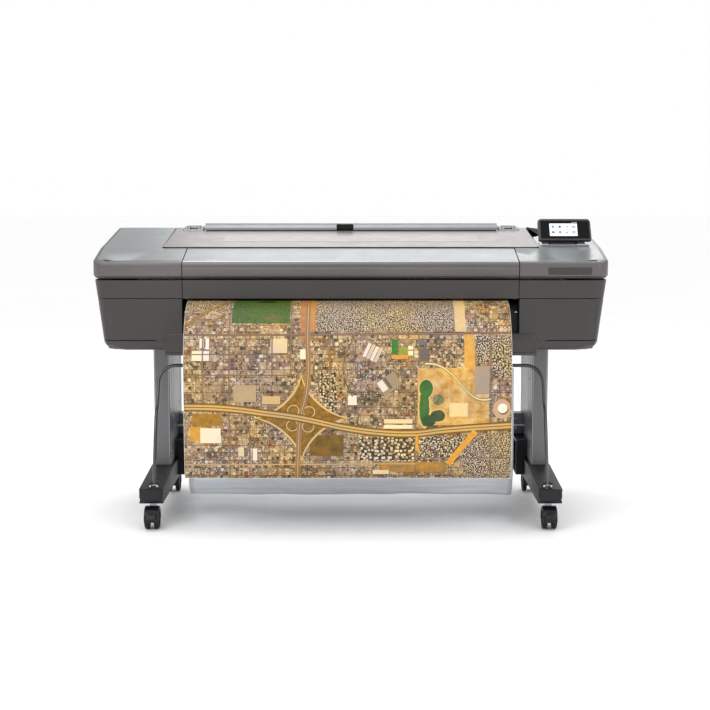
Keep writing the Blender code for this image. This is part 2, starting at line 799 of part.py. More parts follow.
HUB_THICK = 0.008
CORE_RADIUS = 0.0254
spindle = rod("roll_spindle", (-0.672, *SPINDLE), (0.672, *SPINDLE), 0.0125, "black_plastic", 20)
turning = [spindle]
for word, side in SIDES:
    inner = MEDIA_CENTRE_X + side * (MEDIA_WIDTH / 2 + GAP)
    outer = inner + side * HUB_THICK
    hub = rod(word + "_roll_hub", (inner, *SPINDLE), (outer, *SPINDLE), 0.052, "ink_blue")
    bore = ((inner - 0.1, *SPINDLE), (outer + 0.1, *SPINDLE))
    cut(hub, rod(word + "_hub_bore", *bore, 0.0128, None, 20))
    turning.append(hub)
left_end, right_end = ((x, *SPINDLE) for x in MEDIA_X)
roll = rod("media_roll", left_end, right_end, ROLL_RADIUS, "paper_roll", 28)
core_bore = rod("core_bore", (-BEYOND_SIDE, *SPINDLE), (BEYOND_SIDE, *SPINDLE), CORE_RADIUS, None, 20)
cut(roll, core_bore)
hang(pivot("roll_spindle_axis", (0, *SPINDLE)), *turning, roll)

# ---------------------------------------------------------------- the print and where it comes out
def print_path():
    """(Y, Z) of the sheet's top face, from the platen over the lip and down in front."""
    lip = (-0.200, MEDIA_TOP)
    flat = [(0.050, MEDIA_TOP), lip]
    bulge = (-0.430, 0.812)
    hang_top = (PRINT_FRONT, 0.560)
    curve = []
    steps = 10
    for i in range(1, steps + 1):
        t = i / steps
        y = (1 - t) ** 2 * lip[0] + 2 * t * (1 - t) * bulge[0] + t * t * hang_top[0]
        z = (1 - t) ** 2 * lip[1] + 2 * t * (1 - t) * bulge[1] + t * t * hang_top[1]
        curve.append((y, z))
    leans = ((0.002, 0.420), (0.008, 0.300), (0.014, PRINT_BOTTOM))
    return flat + curve + [(PRINT_FRONT + back, z) for back, z in leans]


def thick_path(path, thickness):
    """The outline of a sheet whose one face follows path."""
    other = []
    for i, point in enumerate(path):
        before = Vector(path[max(i - 1, 0)])
        after = Vector(path[min(i + 1, len(path) - 1)])
        run = (after - before).normalized()
        other.append((point[0] - run.y * thickness, point[1] + run.x * thickness))
    return path + other[::-1]


plate("print_sheet", thick_path(print_path(), PRINT_THICK), "X", MEDIA_X, "print")

# ---------------------------------------------------------------- control panel
lean_up = Vector((math.sin(PANEL_LEAN), math.cos(PANEL_LEAN)))
lean_out = Vector((-math.cos(PANEL_LEAN), math.sin(PANEL_LEAN)))


def leaned(up, out):
    """(Y, Z) of a point given along the leaning panel and out of its face, from its hinge."""
    at = Vector(PANEL_PIVOT) + lean_up * up + lean_out * out
    return (at.x, at.y)


def leaned_block(name, x, up, out, finish=None):
    corners = ((0, 0), (1, 0), (1, 1), (0, 1))
    return plate(name, [leaned(up[i], out[j]) for i, j in corners], "X", x, finish)


PANEL_LEFT = PANEL_X - PANEL_HALF
PANEL_RIGHT = PANEL_X + PANEL_HALF
PANEL_UP = (-0.014, 0.079)
PANEL_OUT = (0.008, 0.026)
panel = leaned_block("control_panel", (PANEL_LEFT, PANEL_RIGHT), PANEL_UP, PANEL_OUT, "black_plastic")
soften(panel, 0.004)
SCREEN_X = (PANEL_X - 0.060, PANEL_X + 0.052)
SCREEN_UP = (0.012, 0.066)
SCREEN_OUT = (0.0235, 0.0256)
screen_bay = leaned_block(
    "screen_bay",
    (SCREEN_X[0] - GAP, SCREEN_X[1] + GAP),
    (SCREEN_UP[0] - GAP, SCREEN_UP[1] + GAP),
    (SCREEN_OUT[0] - GAP, 0.04),
)
cut(panel, screen_bay)
LUG_WIDTH = 0.010
for word, x in (("left", PANEL_X - 0.052), ("right", PANEL_X + 0.042)):
    lug = leaned_block(word + "_panel_lug", (x, x + LUG_WIDTH), (-0.005, 0.009), (-0.007, 0.011))
    join(panel, lug)
screen = leaned_block("touch_screen", SCREEN_X, SCREEN_UP, SCREEN_OUT, "screen")
hang(pivot("control_panel_hinge", (PANEL_X, *PANEL_PIVOT)), panel, screen)

BASE_Y = (-0.062, 0.030)
base_outline = [
    (BASE_Y[0], top_z(BASE_Y[0]) + 2 * GAP),
    (BASE_Y[1], top_z(BASE_Y[1]) + 2 * GAP),
    (BASE_Y[1], top_z(BASE_Y[1]) + 0.004),
    (BASE_Y[0], top_z(BASE_Y[0]) + 0.0025),
]
base_x = (PANEL_LEFT + 0.006, PANEL_RIGHT - 0.006)
panel_base = plate("panel_base", base_outline, "X", base_x, "stand_silver")
knuckle = plate(
    "panel_knuckle",
    [
        (PANEL_PIVOT[0] - 0.005, PANEL_PIVOT[1] + 0.003),
        (PANEL_PIVOT[0] + 0.004, PANEL_PIVOT[1] + 0.005),
        (PANEL_PIVOT[0] + 0.012, 0.984),
        (PANEL_PIVOT[0] - 0.008, 0.9805),
    ],
    "X",
    (PANEL_X - 0.0415, PANEL_X + 0.0415),
)
join(panel_base, knuckle)

# ---------------------------------------------------------------- power entry on the back
inlet = box("power_inlet", (0.480, 0.530), (0.3668, 0.3735), (0.656, 0.688), "black_plastic")
inlet_well = box("inlet_well", (0.4915, 0.5185), (0.3695, 0.40), (0.6625, 0.6815))
cut(inlet, inlet_well)
SWITCH_X = (0.440, 0.470)
SWITCH_HINGE = (0.3715, 0.672)
SWITCH_Z = (0.660, 0.684)
SWITCH_BACK = 0.3705
rocker = [
    (SWITCH_BACK, SWITCH_Z[0]),
    (SWITCH_BACK, SWITCH_Z[1]),
    (0.3768, SWITCH_Z[1]),
    (0.3740, SWITCH_HINGE[1]),
    (0.3760, SWITCH_Z[0]),
]
switch = plate("power_switch", rocker, "X", SWITCH_X, "black_plastic")
hang(pivot("power_switch_axis", (sum(SWITCH_X) / 2, *SWITCH_HINGE)), switch)

# ---------------------------------------------------------------- stand
COLUMN_TOP = BODY_BOTTOM - GAP
COLUMN_BOTTOM = FOOT_TOP + GAP
COLUMN_WALL = 0.0025
BRACKET_TOP = 0.233
BRACKET_Y = (0.120, 0.330)
BRACKET_WALL = 0.008
CLIP_CENTRE = 0.0125  # from the middle of the tube to the middle of a clip's cheek
CLIP_HALF = 0.0045


def column(word, side):
    heights = (COLUMN_BOTTOM, COLUMN_TOP)
    post = box(word + "_column", span(side, *COLUMN_X), COLUMN_Y, heights, "stand_silver")
    soften(post, 0.003)
    hollow = box(
        word + "_column_hollow",
        span(side, COLUMN_X[0] + COLUMN_WALL, COLUMN_X[1] - COLUMN_WALL),
        (COLUMN_Y[0] + COLUMN_WALL, COLUMN_Y[1] - COLUMN_WALL),
        (0.1, 0.7),
    )
    cut(post, hollow)


def foot_profile():
    nose = FOOT_HALF_LENGTH
    chamfer = 0.012
    return [
        (-nose, FOOT_BOTTOM + chamfer),
        (-nose + chamfer, FOOT_BOTTOM),
        (nose - chamfer, FOOT_BOTTOM),
        (nose, FOOT_BOTTOM + chamfer),
        (nose, FOOT_NOSE_TOP),
        (nose - 0.010, FOOT_TOP),
        (COLUMN_Y[0] - 0.010, FOOT_TOP),
        (-nose, FOOT_NOSE_TOP),
    ]


def foot(word, side):
    """The beam under a column, with the basket's clip on its nose and the bracket of the brace."""
    inner_face = FOOT_X - FOOT_HALF_WIDTH
    reach = span(side, inner_face, FOOT_X + FOOT_HALF_WIDTH)
    beam = plate(word + "_foot", foot_profile(), "X", reach, "foot_dark")
    round_edges(beam, lambda co: abs(co.y) > FOOT_HALF_LENGTH - 0.001, 0.008, 2)
    channel = box(
        word + "_foot_channel",
        span(side, inner_face + WALL, FOOT_X + FOOT_HALF_WIDTH - WALL),
        (-FOOT_HOLLOW_HALF, FOOT_HOLLOW_HALF),
        (FOOT_BOTTOM - 0.01, FOOT_NOSE_TOP - WALL),
    )
    cut(beam, channel)
    for i, cheek_side in enumerate((-1, 1)):
        middle = BASKET_X + cheek_side * CLIP_CENTRE
        cheek = box(
            f"{word}_clip_{i}",
            span(side, middle - CLIP_HALF, middle + CLIP_HALF),
            (BASKET_PIVOT[0] - 0.009, BASKET_PIVOT[0] + 0.020),
            (FOOT_NOSE_TOP - 0.006, BASKET_PIVOT[1] + 0.010),
        )
        join(beam, cheek)

    low, high = 0.100, BRACKET_TOP
    bracket = box(word + "_brace_bracket", span(side, 0.626, inner_face + WALL), BRACKET_Y, (low, high))
    upper_x = span(side, 0.638, COLUMN_X[0] - GAP)
    upper = box(word + "_bracket_upper", upper_x, BRACKET_Y, (0.160, high))
    relief = box(
        word + "_bracket_relief",
        span(side, 0.60, 0.648),
        (BRACKET_Y[0] + BRACKET_WALL, BRACKET_Y[1] - BRACKET_WALL),
        (low + BRACKET_WALL, high - BRACKET_WALL),
    )
    join(beam, bracket, upper)
    cut(beam, relief)


for word, side in SIDES:
    column(word, side)
    foot(word, side)

BRACE_HALF = COLUMN_X[0] - GAP
BRACE_Y = (0.262, 0.320)
BRACE_Z = (BRACKET_TOP + 0.0005, 0.314)
brace = box("cross_brace", (-BRACE_HALF, BRACE_HALF), BRACE_Y, BRACE_Z, "stand_silver")
soften(brace, 0.002)
brace_hollow = box(
    "brace_hollow",
    (-BEYOND_SIDE, BEYOND_SIDE),
    (BRACE_Y[0] + COLUMN_WALL, BRACE_Y[1] - COLUMN_WALL),
    (BRACE_Z[0] + COLUMN_WALL, BRACE_Z[1] - COLUMN_WALL),
)
cut(brace, brace_hollow)

rod_ends = ((-BRACE_HALF, *REAR_ROD), (BRACE_HALF, *REAR_ROD))
rod("basket_rear_rod", *rod_ends, 0.005, "foot_dark", 12)


def basket_route():
    """The tube from the left clip up, over the bar and down to the right clip."""
    low = Vector((BASKET_X, BASKET_PIVOT[0], BASKET_PIVOT[1]))
    knee = Vector((BASKET_X, -0.288, 0.385))
    upper = Vector((BASKET_X, -0.235, 0.425))
    radius = 0.060
    lean = 0.018
    corner = Vector((BASKET_X, BASKET_BAR[0] - lean, BASKET_BAR[1] - radius))
    top = Vector((BASKET_X - radius, *BASKET_BAR))
    bend = []
    for degrees in (0, 22, 45, 68):
        angle = math.radians(degrees)
        along = Vector((-radius * (1 - math.cos(angle)), lean * math.sin(angle), radius * math.sin(angle)))
        bend.append(corner + along)
    right = [low, knee.lerp(low, 0.12), knee, upper, upper.lerp(corner, 0.15)] + bend + [top]
    left = [(-x, y, z) for x, y, z in right]
    return left + right[::-1]


basket_frame = tube("basket_front_frame", basket_route(), BASKET_TUBE, "foot_dark")
hang(pivot("basket_frame_hinge", (0, *BASKET_PIVOT)), basket_frame)

FABRIC_TOP = (BASKET_BAR[0] - 0.002, BASKET_BAR[1] - BASKET_TUBE - 0.0032)


def fabric_path():
    """(Y, Z) of the cloth from under the bar, down, along the bottom and up to the rear rod."""
    down = [FABRIC_TOP, (-0.196, 0.420), (-0.200, 0.250), (-0.186, 0.150)]
    belly = [(-0.164, 0.098), (-0.112, 0.076), (-0.030, 0.086), (0.060, 0.130)]
    return down + belly + [(0.140, 0.200), (REAR_ROD[0] - 0.008, REAR_ROD[1] - 0.014)]


FABRIC_THICK = 0.002
fabric_outline = thick_path(fabric_path(), FABRIC_THICK)
plate("basket_fabric", fabric_outline, "X", (-FABRIC_HALF, FABRIC_HALF), "fabric")


# ---------------------------------------------------------------- casters
HOOD_INNER = WHEEL_RADIUS + 0.0025
HOOD_OUTER = HOOD_INNER + WALL
HOOD_HALF = 0.0255
WEB_HALF = 0.0060
TREAD = (0.0085, 0.0250)  # inner and outer X of each of the twin treads
STEM_RADIUS = 0.009
AXLE_RADIUS = 0.006


def caster_housing(word, x, y, hub):
    """The hood over both wheels, on the web and the stem between them."""
    start, end = -10, 150
    hood_outline = arc(hub, HOOD_OUTER, start, end, 8) + arc(hub, HOOD_INNER, end, start, 8)
    reach = (x - HOOD_HALF, x + HOOD_HALF)
    hood = plate(word + "_caster_housing", hood_outline, "X", reach, "black_plastic")
    web_outline = arc(hub, HOOD_OUTER - 0.001, start, end, 6) + arc(hub, 0.013, 170, 350, 6)
    web = plate(word + "_caster_web", web_outline, "X", (x - WEB_HALF, x + WEB_HALF))
    stem_ends = ((x, y, 0.060), (x, y, FOOT_BOTTOM - GAP))
    stem = rod(word + "_caster_stem", *stem_ends, STEM_RADIUS, None, 16)
    join(hood, web, stem)
    bore_ends = ((x - 0.1, *hub), (x + 0.1, *hub))
    cut(hood, rod(word + "_axle_bore", *bore_ends, AXLE_RADIUS + 2 * GAP, None, 12))
    for i, side in enumerate((-1, 1)):
        inner = x + side * (TREAD[0] - 0.0015)
        outer = x + side * 0.03
        cut(hood, rod(f"{word}_wheel_room_{i}", (inner, *hub), (outer, *hub), HOOD_INNER, None, 24))
    return hood


def caster_wheel(word, x, hub):
    """Both treads on their axle, which turn as one piece."""
    wheel = rod(
        word + "_caster_wheel", (x - TREAD[1], *hub), (x - TREAD[0], *hub), WHEEL_RADIUS, "rubber"
    )
    twin = rod(word + "_twin_tread", (x + TREAD[0], *hub), (x + TREAD[1], *hub), WHEEL_RADIUS)
    axle = rod(word + "_axle", (x - 0.012, *hub), (x + 0.012, *hub), AXLE_RADIUS, None, 12)
    join(wheel, twin, axle)
    return wheel


def brake_lever(word, x, hub):
    """The pedal that hangs in front of the hood, and the line it turns about."""
    y, z = hub[0] - 0.0400, hub[1] + 0.0265
    pedal = [
        (y, z + 0.003),
        (y + 0.004, z),
        (y, z - 0.003),
        (y - 0.012, z - 0.022),
        (y - 0.016, z - 0.020),
    ]
    lever = plate(word + "_brake_lever", pedal, "X", (x - 0.016, x + 0.016), "foot_dark")
    hang(pivot(word + "_brake_axis", (x, y, z)), lever)


def caster(word, x, y, brake):
    """A twin-wheel swivel caster whose wheels trail towards the front of the machine."""
    hub = (y - CASTER_TRAIL, WHEEL_RADIUS)
    hang(pivot(word + "_caster_swivel", (x, y, FOOT_BOTTOM)), caster_housing(word, x, y, hub))
    hang(pivot(word + "_wheel_axis", (x, *hub)), caster_wheel(word, x, hub))
    if brake:
        brake_lever(word, x, hub)


for word, side in SIDES:
    caster("front_" + word, side * FOOT_X, -CASTER_Y, brake=True)
    caster("rear_" + word, side * FOOT_X, CASTER_Y, brake=False)
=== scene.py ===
"""Looks of the large format plotter: fine shells, stand, basket, print and studio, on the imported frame."""

import math

import bmesh
import bpy
from mathutils import Matrix, Vector, noise


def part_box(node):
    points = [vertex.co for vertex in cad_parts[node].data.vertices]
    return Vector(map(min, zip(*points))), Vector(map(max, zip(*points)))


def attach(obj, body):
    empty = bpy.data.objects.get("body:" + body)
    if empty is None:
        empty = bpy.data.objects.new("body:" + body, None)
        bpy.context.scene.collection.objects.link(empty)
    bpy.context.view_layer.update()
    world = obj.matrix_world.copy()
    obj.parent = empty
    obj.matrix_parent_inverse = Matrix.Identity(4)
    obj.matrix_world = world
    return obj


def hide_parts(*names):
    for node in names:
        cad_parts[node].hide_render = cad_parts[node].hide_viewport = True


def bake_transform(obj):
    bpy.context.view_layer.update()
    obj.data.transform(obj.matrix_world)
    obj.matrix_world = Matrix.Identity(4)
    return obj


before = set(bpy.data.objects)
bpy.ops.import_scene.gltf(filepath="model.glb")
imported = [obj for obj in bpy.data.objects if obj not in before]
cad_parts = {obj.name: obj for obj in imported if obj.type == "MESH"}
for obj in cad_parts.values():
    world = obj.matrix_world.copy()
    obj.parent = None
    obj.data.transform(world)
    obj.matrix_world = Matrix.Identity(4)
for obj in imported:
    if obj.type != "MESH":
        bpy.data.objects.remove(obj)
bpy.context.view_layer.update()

# ---------------------------------------------------------------- dimensions, from the frame
SHIFT = sum(corner[1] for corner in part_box("left_foot")) / 2


def box(node):
    """Corners of a CAD node, in the shapes' own frame: Y = 0 at the middle of the feet."""
    return tuple((x, y - SHIFT, z) for x, y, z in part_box(node))


(SEAM, _, RIM_BOTTOM), (HALF, BODY_REAR, _) = box("right_top_cover")
(_, DOOR_FRONT, DOOR_LOW), (DOOR_OUTER, _, DOOR_HIGH) = box("right_ink_door")
BODY_BOTTOM, BAND_TOP = (corner[2] for corner in box("right_end_housing"))
LID_HALF, SKIRT_HALF = box("top_lid")[1][0], box("centre_skirt")[1][0]
RIM_FRONT, FASCIA_FRONT = box("front_window")[0][1], box("centre_fascia")[0][1]
EDGE = (-0.272, 0.932)  # (Y, Z) of the bright front edge of the top
CREASE = (-0.100, 0.970)  # where the front slope meets the flatter top
REAR_EDGE = (0.350, 1.0275)
FRONT_SLOPE = (CREASE[1] - EDGE[1]) / (CREASE[0] - EDGE[0])
TOP_SLOPE = (REAR_EDGE[1] - CREASE[1]) / (REAR_EDGE[0] - CREASE[0])
SIDES = (("left", -1), ("right", 1))


def rear_slope(y):
    return CREASE[1] + (y - CREASE[0]) * TOP_SLOPE


def surface_z(y):
    """Height of the body's top at that Y, level beyond its front and rear edges."""
    y = min(max(y, EDGE[0]), REAR_EDGE[0])
    return rear_slope(y) if y >= CREASE[0] else CREASE[1] + (y - CREASE[0]) * FRONT_SLOPE


# ---------------------------------------------------------------- materials
def srgb(code):
    """Linear colour of a hex code."""
    values = [int(code[i : i + 2], 16) / 255 for i in (0, 2, 4)]
    return tuple(v / 12.92 if v <= 0.04045 else ((v + 0.055) / 1.055) ** 2.4 for v in values)


def lit(colour, times):
    """The colour made lighter or darker."""
    return tuple(min(c * times, 1.0) for c in colour)


class Graph:
    """Short ways to add nodes to one material."""

    def __init__(self, name):
        self.material = bpy.data.materials.new(name)
        self.material.use_nodes = True
        self.tree = self.material.node_tree
        self.shader = self.tree.nodes["Principled BSDF"]

    def link(self, source, socket):
        """Links an output to the socket, or sets the socket to a constant."""
        if isinstance(source, (int, float, tuple)):
            socket.default_value = source
        else:
            self.tree.links.new(source, socket)

    def node(self, kind, inputs=None, **settings):
        made = self.tree.nodes.new(kind)
        for key, value in settings.items():
            setattr(made, key, value)
        for socket, value in (inputs or {}).items():
            self.link(value, made.inputs[socket])
        return made

    def surface(self, **values):
        """Constants on the shader's own sockets, with _ for each space."""
        for name, value in values.items():
            self.shader.inputs[name.replace("_", " ")].default_value = value

    def math(self, operation, a, b=0.0):
        return self.node("ShaderNodeMath", {0: a, 1: b, 2: 0.0}, operation=operation).outputs[0]

    def object_coordinates(self, scale=(1.0, 1.0, 1.0)):
        coordinates = self.node("ShaderNodeTexCoord")
        inputs = {"Scale": scale, "Vector": coordinates.outputs["Object"]}
        return self.node("ShaderNodeMapping", inputs).outputs[0]

    def noise(self, vector, scale, detail=2.0, roughness=0.5, output="Fac"):
        inputs = {"Vector": vector, "Scale": scale, "Detail": detail, "Roughness": roughness}
        return self.node("ShaderNodeTexNoise", inputs).outputs[output]

    def span(self, value, low, high, to_low=0.0, to_high=1.0):
        """The value carried from one range to another."""
        inputs = dict(enumerate((value, low, high, to_low, to_high)))
        return self.node("ShaderNodeMapRange", inputs).outputs[0]

    def steps(self, value, stops):
        """A colour out of (start, hex code) steps."""
        made = self.node("ShaderNodeValToRGB", {0: value})
        ramp = made.color_ramp
        ramp.interpolation = "CONSTANT"
        while len(ramp.elements) < len(stops):
            ramp.elements.new(0.5)
        for element, (position, code) in zip(ramp.elements, stops):
            element.position = position
            element.color = (*srgb(code), 1.0)
        return made.outputs[0]

    def mix(self, amount, first, second, blend="MIX"):
        first, second = ((*c, 1.0) if isinstance(c, tuple) else c for c in (first, second))
        inputs = {0: amount, 6: first, 7: second}
        return self.node("ShaderNodeMix", inputs, data_type="RGBA", blend_type=blend).outputs[2]

    def bump(self, height, distance, strength=1.0):
        inputs = {"Distance": distance, "Strength": strength, "Height": height}
        return self.node("ShaderNodeBump", inputs).outputs[0]

    def finish(self, colour, roughness, normal=None):
        self.link(colour, self.shader.inputs["Base Color"])
        self.link(roughness, self.shader.inputs["Roughness"])
        if normal is not None:
            self.link(normal, self.shader.inputs["Normal"])
        return self.material


def moulded(name, colour, roughness, metallic=0.0, grain=900, depth=0.00006, spread=0.12, coat=0, gloss=0.5):
    """Fine-textured plastic or paint: spark grain, slow colour drift and faint rub marks."""
    g = Graph(name)
    where = g.object_coordinates()
    drift = g.noise(where, 3.0, 4.0)
    rubs = g.noise(g.object_coordinates((6.0, 40.0, 40.0)), 1.5, 5.0, 0.7)
    height = g.noise(where, grain, 2.0, 0.6)
    tone = g.mix(g.span(drift, 0.3, 0.7), lit(colour, 1 - spread), lit(colour, 1 + spread))
    tone = g.mix(g.span(height, 0.45, 0.75, 0.0, 0.25), tone, lit(colour, 1.5))
    shine = g.span(rubs, 0.3, 0.7, roughness - 0.05, roughness + 0.06)
    g.surface(Metallic=metallic, Coat_Weight=coat, Specular_IOR_Level=gloss)
    return g.finish(tone, shine, g.bump(height, depth))


def brushed(name, colour, roughness, along=(2.0, 300.0, 300.0)):
    """Bare metal with fine drawn lines along X by default."""
    g = Graph(name)
    lines = g.noise(g.object_coordinates(along), 3.0, 3.0, 0.6)
    stains = g.noise(g.object_coordinates(), 9.0, 4.0)
    tone = g.mix(g.span(stains, 0.35, 0.7, 0.0, 0.6), colour, lit(colour, 0.72))
    shine = g.span(lines, 0.3, 0.7, roughness - 0.08, roughness + 0.12)
    g.surface(Metallic=1.0)
    return g.finish(tone, shine, g.bump(lines, 0.00005, 0.6))


def flaked(name, colour, roughness, metallic=0.55, gloss=0.5):
    """Satin metallic paint with tiny flakes."""
    g = Graph(name)
    where = g.object_coordinates()
    flakes = g.node("ShaderNodeTexVoronoi", {"Vector": where, "Scale": 1400.0}).outputs["Distance"]
    sparkle = g.span(flakes, 0.0, 0.8, 0.0, 0.22)
    drift = g.noise(where, 2.2, 3.0)
    tone = g.mix(g.span(drift, 0.3, 0.7), lit(colour, 0.93), lit(colour, 1.06))
    tone = g.mix(sparkle, tone, lit(colour, 1.45))
    shine = g.span(g.noise(where, 14.0, 5.0, 0.65), 0.3, 0.7, roughness - 0.04, roughness + 0.05)
    g.surface(Metallic=metallic, Specular_IOR_Level=gloss, Coat_Weight=0.3 * gloss, Coat_Roughness=0.3)
    return g.finish(tone, shine, g.bump(flakes, 0.00002, 0.5))


MATERIALS = {
    "body": moulded("body_plastic", (0.033, 0.0280, 0.0272), 0.42, coat=0.05),
    "body_rim": moulded("rim_plastic", (0.098, 0.086, 0.085), 0.36, coat=0.08),
    "shadow": moulded("shadow_gap", (0.004, 0.004, 0.004), 0.8, grain=400, gloss=0.1),
    "silver": flaked("top_silver_paint", (0.22, 0.237, 0.243), 0.34),
    # Painted highlight: the light finish of the bead along the window's front edge.
    "bright": flaked("painted_edge_highlight", (0.62, 0.64, 0.64), 0.30),
    "bronze": flaked("lid_bronze_paint", (0.180, 0.160, 0.155), 0.40, 0.30, 0.35),
    "bronze_light": flaked("lid_inlay_paint", (0.205, 0.185, 0.179), 0.38, 0.30, 0.35),
    "grey_roll": flaked("roll_cover_paint", (0.24, 0.245, 0.25), 0.4, 0.4),
    "black": moulded("black_plastic", (0.006, 0.006, 0.007), 0.42, gloss=0.25),
    "gloss_black": moulded("gloss_black_bezel", (0.003, 0.003, 0.004), 0.12, 0.0, 200, 0.00001, gloss=0.1),
    "column": flaked("column_powder_coat", (0.16, 0.16, 0.165), 0.42, 0.35),
    "brace": flaked("brace_powder_coat", (0.20, 0.205, 0.225), 0.45, 0.3),
    "foot": moulded("foot_coat", (0.012, 0.012, 0.014), 0.46, 0.1, grain=500, depth=0.0001, gloss=0.32),
    "caster": moulded("caster_nylon", (0.007, 0.008, 0.010), 0.30, grain=500, gloss=0.30),
    "tread": moulded("tread_rubber", (0.010, 0.011, 0.013), 0.55, grain=300, depth=0.00015, gloss=0.25),
    "tube": flaked("basket_tube_paint", (0.075, 0.075, 0.080), 0.20, 0.45),
    "steel": brushed("plain_steel", (0.55, 0.55, 0.56), 0.32),
    "screw": brushed("zinc_screw", (0.72, 0.72, 0.72), 0.28, (60.0, 60.0, 60.0)),
    "aluminium": brushed("aluminium_machined", (0.62, 0.63, 0.65), 0.3),
    "rubber": moulded("roller_rubber", (0.03, 0.03, 0.031), 0.7, grain=300, depth=0.00012),
    "blue": moulded("moulded_blue", (0.03, 0.10, 0.22), 0.45),
    "paper": moulded("plain_paper", (0.80, 0.80, 0.78), 0.75, grain=500, depth=0.00003, spread=0.03),
}


# ---------------------------------------------------------------- mesh helpers
def flat_mesh(bm):
    """The mesh of an open surface, which keeps the normals that it has."""
    mesh = bpy.data.meshes.new("shell")
    bm.to_mesh(mesh)
    bm.free()
    return mesh


def round_edges(obj, width, segments, angle):
    modifier = obj.modifiers.new("edge", "BEVEL")
    modifier.width = width
    modifier.segments = segments
    modifier.limit_method = "ANGLE"
    modifier.angle_limit = math.radians(angle)
    modifier.harden_normals = True


def piece(name, shape, material, body="root", replaces=(), slot=None, bevel=0.0, segments=3, angle=32):
    """Makes a finished piece from a mesh, or from the bmesh of a closed shape."""
    if isinstance(shape, bmesh.types.BMesh):
        bmesh.ops.recalc_face_normals(shape, faces=shape.faces)
        shape = flat_mesh(shape)
    shape.transform(Matrix.Translation((0.0, SHIFT, 0.0)))
    obj = bpy.data.objects.new(name, shape)
    bpy.context.scene.collection.objects.link(obj)
    for finish in [material] if isinstance(material, str) else material:
        shape.materials.append(MATERIALS[finish])
    shape.shade_smooth()
    shape.set_sharp_from_angle(angle=math.radians(angle))
    if bevel:
        round_edges(obj, bevel, segments, angle)
    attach(obj, body)
    if replaces:
        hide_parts(replaces)
    return obj


def shell(obj, thickness, edge):
    """Wall thickness behind an open surface, then a small round on its rims."""
    modifier = obj.modifiers.new("wall", "SOLIDIFY")
    modifier.thickness = thickness
    modifier.offset = -1.0
    modifier.use_even_offset = False
    round_edges(obj, edge, 2, 50)


def grid(rows, closed=False):
    """A bmesh of quads through rows of points."""
    bm = bmesh.new()
    made = [[bm.verts.new(p) for p in row] for row in rows]
    for a, b in zip(made, made[1:]):
        count = len(a)
        for i in range(count if closed else count - 1):
            j = (i + 1) % count
            bm.faces.new((a[i], a[j], b[j], b[i]))
    bmesh.ops.recalc_face_normals(bm, faces=bm.faces)
    return bm


def orient(bm, key, outward):
    """Turns all faces so that the one that scores highest points outward."""
    bmesh.ops.recalc_face_normals(bm, faces=bm.faces)
    face = max(bm.faces, key=key)
    if not outward(face.normal):
        bmesh.ops.reverse_faces(bm, faces=bm.faces)


def face_area(face):
    return face.calc_area()


def arc(centre, radius, start, end, steps=10):
    """Points on a circle or, with two radii, on an ellipse, between two angles in degrees."""
    rx, ry = radius if isinstance(radius, tuple) else (radius, radius)
    angles = [math.radians(start + (end - start) * i / steps) for i in range(steps + 1)]
    return [(centre[0] + rx * math.cos(a), centre[1] + ry * math.sin(a)) for a in angles]


def rounded(x0, x1, y0, y1, radius, steps=8):
    """A rectangle with round corners, radius one value or four from the lower left round."""
    radii = radius if isinstance(radius, tuple) else (radius,) * 4
    points = []
    for (cx, cy), r, start in zip(((x0, y0), (x1, y0), (x1, y1), (x0, y1)), radii, (180, 270, 0, 90)):
        centre = (cx + (r if cx == x0 else -r), cy + (r if cy == y0 else -r))
        points += arc(centre, r, start, start + 90, steps)
    return points


def extrude(outline, along, low, high, bm=None):
    """A closed outline in the two other axes (in X, Y, Z order), pushed from low to high."""
    bm = bm or bmesh.new()

    def at(u, v, w):
        return {"X": (w, u, v), "Y": (u, w, v), "Z": (u, v, w)}[along]

    first = [bm.verts.new(at(u, v, low)) for u, v in outline]
    second = [bm.verts.new(at(u, v, high)) for u, v in outline]
    count = len(outline)
    faces = [bm.faces.new(first), bm.faces.new(second[::-1])]
    for i in range(count):
        j = (i + 1) % count
        faces.append(bm.faces.new((first[i], second[i], second[j], first[j])))
    bmesh.ops.recalc_face_normals(bm, faces=faces)
    return bm


def block(x, y, z, bm):
    """A box between two values on each axis."""
    outline = [(min(x), min(y)), (max(x), min(y)), (max(x), max(y)), (min(x), max(y))]
    return extrude(outline, "Z", min(z), max(z), bm)


def around(middle, half):
    return (middle - half, middle + half)


def slab(outline, low, high, height=surface_z):
    """A plan outline thickened between two heights over the sloping top."""
    bm = extrude(outline, "Z", low, high)
    for vert in bm.verts:
        vert.co.z += height(vert.co.y)
    return bm


def disc(start, end, radius, sides=32, bm=None, end_radius=None):
    """A round bar or cone from start to end."""
    bm = bm or bmesh.new()
    start, end = Vector(start), Vector(end)
    run = end - start
    turn = run.to_track_quat("Z", "Y").to_matrix().to_4x4()
    bmesh.ops.create_cone(
        bm,
        cap_ends=True,
        segments=sides,
        radius1=radius,
        radius2=radius if end_radius is None else end_radius,
        depth=run.length,
        matrix=Matrix.Translation(start + run / 2) @ turn,
    )
    return bm


def sweep(points, radius, sides):
    """A round tube through points, with its frame carried along without twist."""
    bm = bmesh.new()
    points = [Vector(p) for p in points]
    rings = []
    side = None
    for i, p in enumerate(points):
        run = (points[min(i + 1, len(points) - 1)] - points[max(i - 1, 0)]).normalized()
        side = side or run.orthogonal().normalized()
        side = (side - run * side.dot(run)).normalized()
        other = run.cross(side)
        angles = (2 * math.pi * k / sides for k in range(sides))
        rings.append([bm.verts.new(p + radius * (math.cos(a) * side + math.sin(a) * other)) for a in angles])
    for a, b in zip(rings, rings[1:]):
        for k in range(sides):
            bm.faces.new((a[k], a[(k + 1) % sides], b[(k + 1) % sides], b[k]))
    bm.faces.new(rings[0][::-1])
    bm.faces.new(rings[-1])
    return bm


